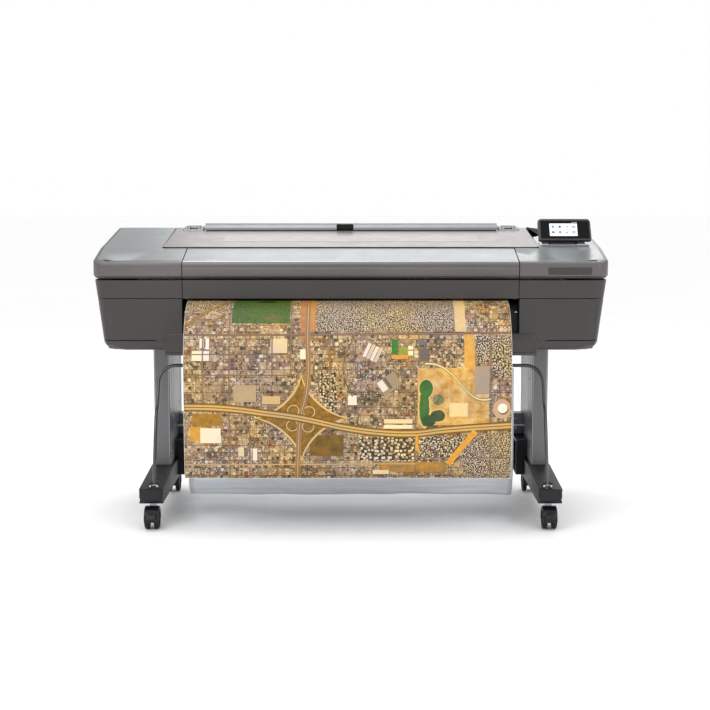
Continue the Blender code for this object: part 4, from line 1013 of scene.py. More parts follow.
def guide_fins(word):
    (left, front, _), (right, rear, top) = box(word + "_roll_guide")
    fins = bmesh.new()
    middle = (left + right) / 2
    for k in range(5):
        x = middle - 0.024 + 0.012 * k
        block(around(x, 0.0016), (front + 0.012, rear - 0.010), (top - 0.002, top + 0.0016), fins)
    block(around(middle, 0.028), (rear - 0.016, rear - 0.010), (top - 0.002, top + 0.0022), fins)
    piece(word + "_guide_fins", fins, "grey_roll", slot="black_plastic", bevel=0.0004)


def roll_cover_trim():
    """Two fine lines along the roll cover, a cap on each of its ends, and ribs on its latch."""
    left, right = (corner[0] for corner in box("rear_roll_cover"))
    lines = bmesh.new()
    for y, z in ((0.3300, 1.0433), (0.3100, 1.0398)):
        disc((left + 0.004, y, z), (right - 0.004, y, z), 0.0008, 10, lines)
    piece("roll_cover_lines", lines, "black", "roll_cover", slot="black_plastic")
    outline = [
        (0.3610, 1.0075), (0.3610, 1.0378), (0.3568, 1.0436), (0.3450, 1.0450), (0.2960, 1.0366),
        (0.2855, 1.0298), (0.2850, 1.0215), (0.2920, 1.0205), (0.3020, 1.0290), (0.3400, 1.0360),
        (0.3480, 1.0300),
    ]
    for (word, side), tip in zip(SIDES, (left, right)):
        cap = extrude(outline, "X", *sorted((tip - side * 0.0055, tip - side * 0.0002)))
        piece(word + "_roll_cover_cap", cap, "black", "roll_cover", slot="black_plastic", bevel=0.0008)
    (left, front, _), (_, rear, top) = box("roll_cover_latch")
    grip = bmesh.new()
    for k in range(7):
        x = left + 0.012 + k * 0.0065
        block(around(x, 0.0011), (front + 0.006, rear - 0.008), (top - 0.0040, top - 0.0002), grip)
    piece("latch_grip", grip, "black", "latch", slot="black_plastic", bevel=0.0003)


badge()
tabs_and_ribs()
for word, _ in SIDES:
    guide_fins(word)
roll_cover_trim()


# ---------------------------------------------------------------- rear and underside
SCREW = ("screw", "shadow")


def rear():
    """Vents, screws, seams and sockets of the rear panel, and the screws of the bottom pan."""
    face = box("rear_panel")[1][1]
    vents, screws, seams, frames, holes = (bmesh.new() for _ in range(5))
    for x0 in (-0.52, 0.30):
        for z in (0.705 + 0.0105 * k for k in range(11)):
            vent = rounded(x0, x0 + 0.20, z, z + 0.0042, 0.0021, 4)
            extrude(vent, "Y", face - 0.001, face + 0.00035, vents)
    piece("rear_vents", vents, "shadow", slot="black_plastic")
    places = [(x, face, z) for x in (-0.575, -0.29, 0.0, 0.29, 0.575) for z in (0.640, 0.855)]
    places += [(x, face, 0.988) for x in (-0.66, -0.33, 0.33, 0.66)]
    piece("rear_screws", screw_heads(places, (0, 1, 0), 0.0042, screws), SCREW, slot="steel")
    depth = (face - 0.001, face + 0.0003)
    for x in (-0.2, 0.2):
        block(around(x, 0.0007), depth, (0.630, 0.866), seams)
    block((-0.586, 0.586), depth, (0.8685, 0.8697), seams)
    piece("rear_seams", seams, "shadow", slot="body_dark")
    for x, half in ((-0.10, 0.008), (-0.065, 0.007), (-0.03, 0.007)):
        frame_half = half + 0.003
        outline = rounded(x - frame_half, x + frame_half, 0.652, 0.672, 0.0015, 3)
        extrude(outline, "Y", face - 0.001, face + 0.0012, frames)
        extrude(rounded(x - half, x + half, 0.655, 0.669, 0.0006, 2), "Y", face, face + 0.0014, holes)
    piece("data_socket_frames", frames, "steel", slot="steel", bevel=0.0004)
    piece("data_socket_holes", holes, "shadow", slot="black_plastic")

    (left, _, _), (right, back, _) = box("power_inlet")
    pins = bmesh.new()
    for dx, z in ((-0.007, 0.669), (0.007, 0.669), (0.0, 0.676)):
        x = (left + right) / 2 + dx
        block(around(x, 0.0010), (back - 0.004, back - 0.0003), around(z, 0.003), pins)
    piece("inlet_pins", pins, "steel", slot="steel")
    (left, _, _), (right, back, _) = box("power_switch")
    mark = bmesh.new()
    block(around((left + right) / 2, 0.0004), (back - 0.0012, back - 0.0001), (0.6755, 0.6805), mark)
    piece("switch_mark", mark, "lamp_white", "switch", slot="black_plastic")
    (_, front, under), (_, back, _) = box("bottom_pan")
    places = [(x, y, under) for x in (-0.5, -0.25, 0.0, 0.25, 0.5) for y in (front + 0.02, back - 0.02)]
    piece("pan_screws", screw_heads(places, (0, 0, -1), 0.0040), SCREW, slot="steel")


rear()


# ---------------------------------------------------------------- stand and casters
def lathe(profile, centre, steps, bm):
    """Turns (along X, radius) points round an axis parallel to X."""
    rings = []
    for along, radius in profile:
        angles = (2 * math.pi * k / steps for k in range(steps))
        ring = [(along, radius * math.cos(a), radius * math.sin(a)) for a in angles]
        rings.append([bm.verts.new(centre + Vector(p)) for p in ring])
    faces = []
    for a, b in zip(rings, rings[1:] + rings[:1]):
        for k in range(steps):
            faces.append(bm.faces.new((a[k], a[(k + 1) % steps], b[(k + 1) % steps], b[k])))
    bmesh.ops.recalc_face_normals(bm, faces=faces)


WHEEL = 0.0375
AXLE_BACK = 0.020  # how far the swivel stands behind the axle


def tyre(side):
    """Section of one tread and its dished hub, from the fork outwards."""
    inner, outer = 0.0086, 0.0249
    tread = WHEEL - 0.0001
    low, high = 0.0030, 0.0035  # radii of the tread's inner and outer shoulders
    shape = [(inner, 0.0060), (inner, tread - low)]
    shape += [(inner + low - low * math.cos(a), tread - low + low * math.sin(a)) for a in (0.4, 0.9, 1.4)]
    turns = (0.15, 0.6, 1.1, 1.5)
    shape += [(outer - high + high * math.sin(a), tread - high + high * math.cos(a)) for a in turns]
    dish = ((0.0, 0.0300), (0.0004, 0.0292), (0.0012, 0.0285), (0.0040, 0.0250), (0.0052, 0.0160),
            (0.0036, 0.0105), (0.0010, 0.0092), (0.0006, 0.0060))
    return [(side * x, r) for x, r in shape + [(outer - back, r) for back, r in dish]]


def twin_wheel(name, centre):
    wheels = bmesh.new()
    for side in (-1, 1):
        lathe(tyre(side), centre, 56, wheels)
        for a in (2 * math.pi * k / 5 + 0.3 for k in range(5)):
            start = Vector((side * 0.0205, 0.011 * math.cos(a), 0.011 * math.sin(a)))
            stop = Vector((side * 0.0222, 0.0262 * math.cos(a), 0.0262 * math.sin(a)))
            disc(centre + start, centre + stop, 0.0016, 10, wheels)
    axle = Vector((0.0235, 0.0, 0.0))
    disc(centre - axle, centre + axle, 0.0055, 24, wheels)
    piece(name + "_twin_wheel", wheels, "tread", name + "_wheel", name + "_caster_wheel", "foot_dark")


def hood_section():
    """Section (X, radius) of the hood over both wheels, from its left lip to its right one."""
    left = [(-0.0252, 0.0330), (-0.0254, 0.0385)]
    left += [(-0.0214 - 0.0040 * math.cos(t), 0.0388 + 0.0040 * math.sin(t)) for t in (0.3, 0.8, 1.3)]
    left += [(-0.010, 0.0430)]
    return left + [(0.0, 0.0431)] + [(-x, r) for x, r in reversed(left)]


def caster(end, word):
    """Twin wheel, hood, fork and stem of one caster, and the grip of its brake if it has one."""
    name = f"{end}_{word}"
    low, high = box(name + "_caster_wheel")
    x, y, z = (low[0] + high[0]) / 2, (low[1] + high[1]) / 2, WHEEL
    twin_wheel(name, Vector((x, y, z)))
    housing = (name + "_caster", name + "_caster_housing")

    rows = []
    for a in (math.radians(-12 + 204 * k / 28) for k in range(29)):
        rows.append([(x + dx, y + r * math.cos(a), z + r * math.sin(a)) for dx, r in hood_section()])
    bm = grid(rows)
    orient(bm, lambda f: f.calc_center_median().z, lambda n: n.z > 0)
    shell(piece(name + "_hood", flat_mesh(bm), "caster", *housing, "foot_dark", angle=50), 0.0022, 0.0006)
    web = arc((y, z), 0.0415, 0, 180, 24) + [(y - 0.012, z - 0.016), (y + 0.012, z - 0.016)]
    piece(name + "_fork", extrude(web, "X", x - 0.0072, x + 0.0072), "caster", *housing, "foot_dark", 0.0012)
    stem = bmesh.new()
    seat, race, tip = 0.0845, 0.0868, 0.0938
    steps = ((z + 0.030, seat, 0.0150, 0.0128), (seat, race, 0.0138, None), (race, tip, 0.0088, None))
    for bottom, top, radius, end_radius in steps:
        disc((x, y + AXLE_BACK, bottom), (x, y + AXLE_BACK, top), radius, 40, stem, end_radius)
    piece(name + "_stem", stem, "steel", *housing, "steel", 0.0005, 2, 40)
    if end == "front":
        lever = name + "_brake_lever"
        carry(lever, "caster", 0.0016)
        low, high = box(lever)
        x, z = (low[0] + high[0]) / 2, high[2] - 0.0004
        bm = bmesh.new()
        for y in (low[1] + 0.003 + 0.0035 * k for k in range(4)):
            disc((x - 0.011, y, z), (x + 0.011, y, z), 0.0008, 10, bm)
        piece(lever + "_grip", bm, "caster", name + "_brake")


BASKET_LOW = Vector((0.685, -0.366, 0.1585))  # pivot of the basket's frame at the front of a foot
BASKET_TOP = Vector((0.625, -0.180, 0.555))  # end of the top bar's straight run
BASKET_BEND = 0.060
TUBE = 0.00625


def basket_points():
    """The tube's line: up from one foot, back at the knee, round the corner and over to the other side."""
    low, knee, upper = BASKET_LOW, Vector((0.685, -0.288, 0.385)), Vector((0.685, -0.235, 0.425))
    corner = BASKET_TOP + Vector((0.060, -0.018, -BASKET_BEND))
    bend = []
    for a in (math.radians(d) for d in range(0, 90, 11)):
        step = Vector((-BASKET_BEND * (1 - math.cos(a)), 0.018 * math.sin(a), BASKET_BEND * math.sin(a)))
        bend.append(corner + step)
    leg = [low, low.lerp(knee, 0.5), knee.lerp(low, 0.14), knee.lerp(upper, 0.22), upper.lerp(knee, 0.12)]
    half = smooth_path(leg + [upper.lerp(corner, 0.30)], 7) + bend + [BASKET_TOP]
    return [Vector((-p.x, p.y, p.z)) for p in half] + half[::-1]


def column_trim(word, side):
    """Dark joints on a column's inner face, light lines along its front's edges as painted highlights, and
    its screws.
    """
    low, high = box(word + "_column")
    inner_x, outer_x = sorted((abs(low[0]), abs(high[0])))
    front, rear = low[1], high[1]
    joints, lines, screws = bmesh.new(), bmesh.new(), bmesh.new()
    for y, width in ((front + 0.062, 0.0030), (front + 0.120, 0.0012), (rear - 0.050, 0.0030)):
        x = (side * (inner_x - 0.0003), side * (inner_x + 0.0010))
        block(x, (y, y + width), (low[2] + 0.004, high[2] - 0.002), joints)
    piece(word + "_column_joints", joints, "shadow", slot="stand_silver")
    middle = (inner_x + outer_x) / 2
    y, z = (front - 0.0002, front + 0.001), (low[2] + 0.002, high[2] - 0.001)
    # Painted highlights: light steel lines near the edges of the column's front.
    for x0, x1 in ((middle - 0.0255, middle - 0.0243), (middle + 0.0243, middle + 0.0255)):
        block((side * x0, side * x1), y, z, lines)
    piece(word + "_column_lines", lines, "steel", slot="stand_silver")
    places = [(front + 0.090, 0.590), (front + 0.090, 0.475), (front + 0.090, 0.335), (rear - 0.075, 0.590)]
    places += [(rear - 0.075, 0.360), (front + 0.030, 0.215)]
    screw_heads([(side * inner_x, y, z) for y, z in places], (-side, 0, 0), 0.0042, screws)
    places = [(side * outer_x, y, z) for y in (0.12, 0.20) for z in (0.24, 0.42, 0.58)]
    screw_heads(places, (side, 0, 0), 0.0042, screws)
    piece(word + "_column_screws", screws, SCREW, slot="steel")


def foot_trim(word, side):
    """Screws of a foot, the plates over its casters and the pin of the basket's frame."""
    x, y, z = BASKET_LOW
    places = [(side * (0.685 + dx), -0.3752, 0.1565) for dx in (-0.0125, 0.0125)]
    screws = screw_heads(places, (0, -1, 0), 0.0034)
    places = [(side * 0.709, end_y, 0.0942) for end_y in (-0.302, 0.302)]
    screw_heads(places, (0, 0, -1), 0.0040, screws)
    piece(word + "_foot_screws", screws, SCREW, slot="steel")
    plates = bmesh.new()
    for plate_y in (-0.325, 0.325):
        extrude(arc((side * 0.695, plate_y), 0.024, 0, 360 * 31 / 32, 31), "Z", 0.0925, 0.0942, plates)
    piece(word + "_caster_plates", plates, "steel", slot="steel", bevel=0.0004)
    pivot = disc((side * 0.6715, y, z), (side * 0.6985, y, z), 0.0032, 24)
    piece(word + "_basket_pivot", pivot, "steel", slot="steel", bevel=0.0004)


def brace_bolts():
    (_, front, low), (_, back, high) = box("cross_brace")
    bolts = bmesh.new()
    for x in (-0.640, -0.600, 0.640, 0.600):
        for z in (low + 0.020, high - 0.020):
            screw_heads([(x, front, z)], (0, -1, 0), 0.0048, bolts)
            screw_heads([(x, back, z)], (0, 1, 0), 0.0048, bolts)
    piece("brace_bolts", bolts, SCREW, slot="steel")


for word, side in SIDES:
    for end in ("front", "rear"):
        caster(end, word)
    column_trim(word, side)
    foot_trim(word, side)
brace_bolts()
tube = sweep(basket_points(), TUBE, 22)
piece("basket_tube", tube, "tube", "basket", "basket_front_frame", "foot_dark", angle=60)


# ---------------------------------------------------------------- basket fabric
FABRIC_HALF = 0.582
FABRIC_PATH = (
    (-0.182, 0.5456), (-0.1905, 0.480), (-0.196, 0.420), (-0.1995, 0.330), (-0.200, 0.250), (-0.195, 0.195),
    (-0.187, 0.148), (-0.177, 0.115), (-0.164, 0.098), (-0.140, 0.083), (-0.112, 0.076), (-0.070, 0.077),
    (-0.030, 0.086), (0.016, 0.105), (0.060, 0.130), (0.101, 0.164), (0.140, 0.199), (0.168, 0.231),
    (0.192, 0.261),
)
LOWEST_CLOTH = 0.070
THREAD = 0.0022  # pitch of the weave
HEM = 0.016


def cloth_material(length):
    """Open silver weave with creases across the fall and painted shade in them, and a plain hem along both
    sides.
    """
    g = Graph("basket_mesh_cloth")
    uv = g.node("ShaderNodeUVMap", uv_map="cloth").outputs[0]
    inputs = {0: uv, 1: (2 * FABRIC_HALF, length, 0.0)}
    scaled = g.node("ShaderNodeVectorMath", inputs, operation="MULTIPLY").outputs[0]
    split = g.node("ShaderNodeSeparateXYZ", {0: scaled})
    warp, weft = (g.math("SINE", g.math("MULTIPLY", split.outputs[i], 2 * math.pi / THREAD)) for i in (0, 1))
    threads = g.math("MAXIMUM", g.math("ABSOLUTE", warp), g.math("ABSOLUTE", weft))
    cloudy = g.noise(g.object_coordinates((3.0, 8.0, 14.0)), 3.0, 4.0)
    tone = g.mix(g.span(threads, 0.35, 0.9), srgb("a9aeb6"), srgb("dfe3e8"))
    tone = g.mix(g.span(cloudy, 0.3, 0.7, 0.0, 0.4), tone, srgb("c2c7ce"))
    creases = g.noise(g.object_coordinates((2.6, 46.0, 46.0)), 1.0, 4.0)
    # Painted shade: the weave darkened along the creases.
    crease_shade = g.mix(1.0, tone, (0.66, 0.68, 0.71), "MULTIPLY")
    tone = g.mix(g.span(creases, 0.38, 0.62, 0.0, 0.55), tone, crease_shade)
    aside = g.math("ABSOLUTE", g.math("SUBTRACT", split.outputs[0], FABRIC_HALF))
    tone = g.mix(g.math("GREATER_THAN", aside, FABRIC_HALF - HEM), tone, srgb("b6bac2"))
    g.surface(Sheen_Weight=0.25, Sheen_Roughness=0.4)
    height = g.math("ADD", threads, g.math("MULTIPLY", creases, 6.0))
    return g.finish(tone, 0.62, g.bump(height, 0.0003, 0.7))


def fabric():
    """The hanging basket of printed mesh, sagging and wrinkled between the bar and the rear rod."""
    path = smooth_path([(0, y, z) for y, z in FABRIC_PATH], 4)
    places = lengths_along(path)
    length = places[-1]
    columns = 120
    rows = []
    for i, (p, s) in enumerate(zip(path, places)):
        run = (path[min(i + 1, len(path) - 1)] - path[max(i - 1, 0)]).normalized()
        out = Vector((0.0, run.z, -run.y))
        free = math.sin(math.pi * min(1.0, max(0.0, s / length)))
        row = []
        for share in (k / columns for k in range(columns + 1)):
            x = FABRIC_HALF * (2 * share - 1)
            sag = 0.0009 * math.sin(math.pi * share)
            folds = 0.0010 * math.sin(share * 31.0 + 3.0 * math.sin(s * 5.0))
            rumple = 0.0044 * noise.noise(Vector((x * 2.6, s * 26.0, 1.7)))
            fine = 0.0016 * noise.noise(Vector((x * 14.0, s * 26.0, 5.1)))
            q = p + out * (sag + folds + rumple + fine) * free
            row.append(((x, q.y, max(q.z, LOWEST_CLOTH)), share, s / length))
        rows.append(row)
    MATERIALS["cloth"] = cloth_material(length)
    mesh = cloth_grid(rows, "cloth")
    obj = piece("basket_cloth", mesh, "cloth", "root", "basket_fabric", "fabric", angle=80)
    modifier = obj.modifiers.new("cloth", "SOLIDIFY")
    modifier.thickness = 0.0009
    modifier.offset = 0.0
    dressed = bpy.data.meshes.new_from_object(obj.evaluated_get(bpy.context.evaluated_depsgraph_get()))
    obj.modifiers.clear()
    obj.data = dressed
    obj.parent = None
    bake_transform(obj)


fabric()


# ---------------------------------------------------------------- print
FOOT_MARGIN = 0.011  # the town starts this far above the sheet's lower edge


class Aerial(Graph):
    """An invented town seen from above, drawn in metres on the sheet from near its lower left corner."""

    def __init__(self, name, width, length):
        super().__init__(name)
        uv = self.node("ShaderNodeUVMap", uv_map="sheet").outputs[0]
        self.at = self.scaled(uv, (width, length, 0.0), (0.0, -FOOT_MARGIN, 0.0))
        self.straight = self.apart(self.at)
        wander = self.noise(self.at, 55.0, 3.0, 0.6, "Color")
        shifted = self.scaled(wander, (0.006, 0.006, 0.0), self.at)
        moved = self.node("ShaderNodeVectorMath", {0: shifted, 1: (-0.003, -0.003, 0.0)}, operation="ADD")
        self.loose = self.apart(moved.outputs[0])
        self.colour = None

    def scaled(self, vector, times, plus):
        inputs = {0: vector, 1: times, 2: plus}
        return self.node("ShaderNodeVectorMath", inputs, operation="MULTIPLY_ADD").outputs[0]

    def apart(self, vector):
        made = self.node("ShaderNodeSeparateXYZ", {0: vector})
        return made.outputs[0], made.outputs[1]

    def turned(self, degrees, centre):
        inputs = {"Vector": self.at, "Center": (*centre, 0.0), "Angle": math.radians(degrees)}
        return self.node("ShaderNodeVectorRotate", inputs, rotation_type="Z_AXIS").outputs[0]

    def off(self, value, middle):
        return self.math("ABSOLUTE", self.math("SUBTRACT", value, middle))

    def within(self, value, low, high):
        return self.math("LESS_THAN", self.off(value, (low + high) / 2), (high - low) / 2)

    def rect(self, left, right, low, high, place=None):
        u, v = place or self.straight
        return self.math("MULTIPLY", self.within(u, left, right), self.within(v, low, high))

    def ellipse(self, centre, radii, place=None):
        """Distance from a centre, 1 on the ellipse with those radii."""
        squares = []
        for value, middle, radius in zip(place or self.straight, centre, radii):
            offset = self.math("DIVIDE", self.math("SUBTRACT", value, middle), radius)
            squares.append(self.math("POWER", self.math("ABSOLUTE", offset), 2.0))
        return self.math("SQRT", self.math("ADD", *squares))

    def inside(self, distance, limit):
        return self.math("LESS_THAN", distance, limit)

    def both(self, first, second):
        return self.math("MULTIPLY", first, second)

    def line(self, start, end):
        """Distance to a straight stretch of road."""
        run = (end[0] - start[0], end[1] - start[1])
        half = math.hypot(*run) / 2
        along, across = self.apart(self.turned(-math.degrees(math.atan2(run[1], run[0])), start))
        beyond = self.math("MAXIMUM", self.math("SUBTRACT", self.off(along, start[0] + half), half), 0.0)
        return self.math("MAXIMUM", beyond, self.off(across, start[1]))

    def curve(self, points, vertical=False):
        """Distance to a road given as a smooth function through points, along U or along V."""
        along, across = reversed(self.straight) if vertical else self.straight
        low, high = points[0][0], points[-1][0]
        places = [((x - low) / (high - low), y) for x, y in points]
        made = self.node("ShaderNodeFloatCurve", {"Value": self.span(along, low, high)})
        shape = made.mapping.curves[0]
        shape.points[0].location, shape.points[-1].location = places[0], places[-1]
        for place in places[1:-1]:
            shape.points.new(*place)
        made.mapping.update()
        past = self.math("SUBTRACT", self.off(along, (low + high) / 2), (high - low) / 2)
        return self.math("MAXIMUM", self.off(across, made.outputs[0]), past)

    def paint(self, mask, colour):
        self.colour = self.mix(mask, self.colour, srgb(colour) if isinstance(colour, str) else colour)

    def field(self, mask, first, second, scale=60.0):
        """Paints ground that wanders between two colours."""
        patches = self.span(self.noise(self.at, scale, 5.0, 0.65), 0.35, 0.62)
        self.paint(mask, self.mix(patches, srgb(first), srgb(second)))

    def road(self, distance, half, colour, edge=None, edge_half=0.0):
        if edge:
            self.paint(self.inside(distance, edge_half), edge)
        self.paint(self.inside(distance, half), colour)

    def cells(self, scale, randomness, place=None):
        """Squarish cells: distance from the middle of each, and two random values of it."""
        inputs = {"Vector": place or self.at, "Scale": scale, "Randomness": randomness}
        made = self.node("ShaderNodeTexVoronoi", inputs, distance="CHEBYCHEV", voronoi_dimensions="2D")
        pick = self.node("ShaderNodeSeparateColor", {0: made.outputs["Color"]})
        return made.outputs["Distance"], pick.outputs[0], pick.outputs[1]

    def blocks(self):
        """Lots, roofs and yards: three sizes of squarish cells, cut up by a grid of streets."""
        lot = self.cells(27.0, 0.7)[1]
        ground = self.steps(lot, ((0.0, "b9a287"), (0.22, "a08a7c"), (0.42, "c9b391"), (0.58, "8d7f74"),
                                  (0.72, "b98f4d"), (0.82, "d1bb98"), (0.93, "7b7560")))
        shade, tint, lift = self.cells(74.0, 0.72)
        roof = self.steps(tint, ((0.0, "e9dfca"), (0.16, "c8b08e"), (0.34, "ab937c"), (0.50, "6b5d50"),
                                 (0.62, "d9c8ab"), (0.78, "f4efe4"), (0.88, "a3672f"), (0.94, "4c5346")))
        covered = self.inside(shade, self.span(lift, 0.0, 1.0, 0.10, 0.52))
        self.colour = self.mix(covered, ground, roof)
        small, pick, size = self.cells(160.0, 0.8)
        speck = self.steps(pick, ((0.0, "efe6d4"), (0.3, "c3ab88"), (0.5, "5c5042"), (0.7, "fbf8f0"),
                                  (0.85, "7f6c58")))
        busy = self.inside(self.noise(self.at, 11.0), 0.53)
        self.paint(self.both(busy, self.inside(small, self.span(size, 0.0, 1.0, 0.05, 0.40))), speck)
        inputs = {
            "Vector": self.at, "Scale": 1.0, "Mortar Size": 0.0011, "Mortar Smooth": 0.0, "Bias": 0.0,
            "Brick Width": 0.043, "Row Height": 0.0262, "Color1": (1.0, 1.0, 1.0, 1.0),
            "Color2": (0.66, 0.64, 0.62, 1.0), "Mortar": (0.36, 0.33, 0.30, 1.0),
        }
        streets = self.node("ShaderNodeTexBrick", inputs, offset=0.37, squash=1.6, squash_frequency=3)
        self.colour = self.mix(1.0, self.colour, streets.outputs["Color"], "MULTIPLY")
        grain = self.span(self.noise(self.at, 420.0, 2.0, 0.6), 0.35, 0.65, 0.0, 0.35)
        self.colour = self.mix(grain, self.colour, srgb("7a6450"), "MULTIPLY")

    def housing(self, mask, scale=215.0, turn=0.0):
        """Close rows of small houses with trees between them."""
        shade, tint, lift = self.cells(scale, 0.75, self.turned(turn, (0.5, 0.3)) if turn else None)
        trees = self.steps(tint, ((0.0, "3b392b"), (0.4, "57503f"), (0.7, "2f3a24")))
        roof = self.steps(lift, ((0.0, "e6dcc9"), (0.35, "bfa98a"), (0.6, "d7c7ae"), (0.85, "9b8470")))
        self.paint(mask, self.mix(self.inside(shade, 0.34), trees, roof))


# Each row starts with left, right, low and high, in metres on the sheet.
HOUSING = (  # then the number of cells in a metre and their turn in degrees
    (0.45, 0.925, 0.502, 0.9), (0.0, 0.155, 0.60, 0.9, 190.0, 30.0), (0.95, 1.038, -0.02, 0.145, 190.0, 45.0),
    (1.05, 1.12, -0.02, 0.15), (1.05, 1.12, 0.345, 0.482, 170.0), (0.995, 1.042, 0.39, 0.485, 170.0),
    (0.805, 0.95, 0.062, 0.138, 130.0, 8.0), (0.60, 0.79, 0.05, 0.135, 85.0),
    (0.465, 0.52, 0.19, 0.36, 110.0),
)
PARK_PONDS = (
    ((0.305, 0.552), (0.030, 0.016), "4c5f24", "6b6a2c"),
    ((0.28, 0.66), (0.035, 0.010), "182c12", "2a401c"),
)
FIELDS = (  # then whether the edge wanders, two colours and the scale of the patches
    (0.398, 0.420, 0.470, 0.76, False, "a9764a", "bd8a58", 60.0),
    (0.428, 0.449, 0.500, 0.72, True, "b5803f", "c8934f", 60.0),
    (0.03, 0.13, 0.172, 0.214, True, "8c6c22", "b0882c", 45.0),
    (0.02, 0.085, 0.118, 0.168, False, "c99a3c", "d9ac4d", 60.0),
    (0.925, 0.962, 0.500, 0.9, True, "d9bf8a", "e4cc98", 60.0),
    (0.955, 0.992, 0.33, 0.50, True, "d3a24a", "e0b463", 60.0),
    (0.797, 1.040, 0.175, 0.372, True, "bf8f38", "e3c88c", 30.0),
    (0.905, 0.968, 0.205, 0.252, False, "ead7a4", "f0e0b4", 60.0),
    (0.99, 1.040, 0.282, 0.378, False, "a79a88", "b3a693", 20.0),
    (0.708, 0.730, 0.418, 0.470, False, "2f7a2d", "3b8a38", 30.0),
    (0.733, 0.762, 0.419, 0.445, True, "7d9338", "9aa64c", 60.0),
    (0.708, 0.764, 0.404, 0.417, False, "d79a3d", "e0a94d", 60.0),
    (0.665, 0.900, 0.012, 0.046, True, "c9922c", "8e7a4a", 40.0),
    (0.43, 0.545, 0.068, 0.142, True, "5d4f1d", "8a6a22", 30.0),
    (0.171, 0.248, 0.256, 0.314, False, "b7a47c", "c2af86", 20.0),
)
ROOFS = (
    (0.297, 0.354, 0.423, 0.474, "ddd0b4"), (0.029, 0.089, 0.396, 0.430, "f1ece2"),
    (0.056, 0.126, 0.112, 0.164, "f7f0e2"), (0.110, 0.128, 0.112, 0.138, "f3ead6"),
    (0.398, 0.424, 0.402, 0.436, "f5efe6"), (0.560, 0.590, 0.245, 0.278, "f6f1ea"),
    (0.683, 0.780, 0.163, 0.176, "f3ecdb"), (0.683, 0.780, 0.181, 0.196, "e9ddc2"),
    (0.268, 0.330, 0.248, 0.276, "d9bd85"), (0.765, 0.782, 0.435, 0.448, "f3eee6"),
    (0.765, 0.782, 0.415, 0.430, "f3eee6"), (0.800, 0.835, 0.398, 0.440, "6b6570"),
    (0.806, 0.828, 0.452, 0.466, "6d6ea0"), (0.645, 0.700, 0.003, 0.018, "efe3c6"),
    (0.185, 0.205, 0.066, 0.098, "e9d9b4"), (0.235, 0.250, 0.052, 0.094, "f4efe4"),
    (0.055, 0.070, 0.440, 0.474, "efe8dc"), (0.076, 0.088, 0.436, 0.474, "f6f2ea"),
)
SLANTED_ROOFS = (
    (0.665, 0.738, 0.292, 0.345, "9f9583"), (0.668, 0.690, 0.305, 0.343, "f1ebe0"),
    (0.694, 0.704, 0.300, 0.343, "6f6658"),
)
RAMPS = ((-0.026, 0.026), (0.028, 0.022), (-0.030, -0.026), (0.024, -0.030))
STREETS_ACROSS = ((0.347, 0.02, 0.37), (0.385, 0.69, 0.82), (0.418, 0.02, 0.155), (0.062, 0.79, 1.12))
STREETS_UP = (
    (0.156, -0.02, 0.72), (0.302, 0.347, 0.487), (0.366, 0.35, 0.72), (0.498, 0.27, 0.49),
    (0.79, -0.02, 0.265), (0.802, 0.385, 0.49), (1.045, -0.02, 0.72), (0.066, 0.24, 0.487),
    (0.225, 0.037, 0.20),
)
MAIN_ROAD = ((-0.02, 0.387), (0.10, 0.391), (0.20, 0.398), (0.30, 0.421), (0.50, 0.423), (0.80, 0.424))
HIGHWAY = (
    (0.0, 0.237), (0.155, 0.232), (0.28, 0.216), (0.394, 0.200), (0.562, 0.164), (0.673, 0.149),
    (0.786, 0.146), (0.883, 0.157), (1.12, 0.175),
)
SHORE_ROAD = ((0.824, 0.387), (0.866, 0.381), (0.908, 0.355), (0.950, 0.309), (0.992, 0.271), (1.042, 0.265))
LAKE = (((0.826, 0.302), (0.023, 0.030)), ((0.820, 0.235), (0.017, 0.064)))
SHORE = (
    ((0.826, 0.302), (0.0265, 0.034)), ((0.821, 0.232), (0.021, 0.068)), ((0.866, 0.208), (0.028, 0.023)),
)
PONDS = (
    ((0.866, 0.208), (0.025, 0.020), "2b3f2a", "4a5c3a", 30.0),
    ((0.835, 0.190), (0.024, 0.020), "35612f", "2c4527", 30.0),
    ((0.868, 0.262), (0.020, 0.018), "4b5c35", "8d9368", 60.0),
)
TANK = (((1.083, 0.232), (0.030, 0.034), "cbb091"), ((1.088, 0.230), (0.0175, 0.0175), "5a4a40"),
        ((1.086, 0.234), (0.0165, 0.0165), "faf8f4"))
CANALS = (((0.988, 0.147), (0.908, 0.047), 0.0100), ((0.795, 0.09), (0.795, 0.14), 0.0045))


def land(g):
    """Everything that isn't a road: lots, houses, fields and single roofs."""
    g.blocks()
    for row in HOUSING:
        g.housing(g.rect(*row[:4]), *row[4:])
    g.field(g.rect(0.162, 0.362, 0.532, 0.735, g.loose), "2c4a1c", "55762e", 130.0)
    for centre, radii, first, second in PARK_PONDS:
        g.field(g.inside(g.ellipse(centre, radii, g.loose), 1.0), first, second, 90.0)
    for left, right, low, high, wanders, *look in FIELDS:
        g.field(g.rect(left, right, low, high, g.loose if wanders else None), *look)
    for left, right, low, high, tone in ROOFS:
        g.paint(g.rect(left + 0.0015, right + 0.0015, low - 0.0015, high - 0.0015), "4a4036")
        g.paint(g.rect(left, right, low, high), tone)
    slanted = g.turned(-35.0, (0.70, 0.315))
    for *place, tone in SLANTED_ROOFS:
        g.paint(g.rect(*place, g.apart(slanted)), tone)
    slanted = g.turned(25.0, (0.64, 0.42))
    for k in range(4):
        place = (0.615 + 0.014 * k, 0.626 + 0.014 * k, 0.40, 0.452)
        g.paint(g.rect(*place, g.apart(slanted)), ("efe7da", "d8cbb6")[k % 2])


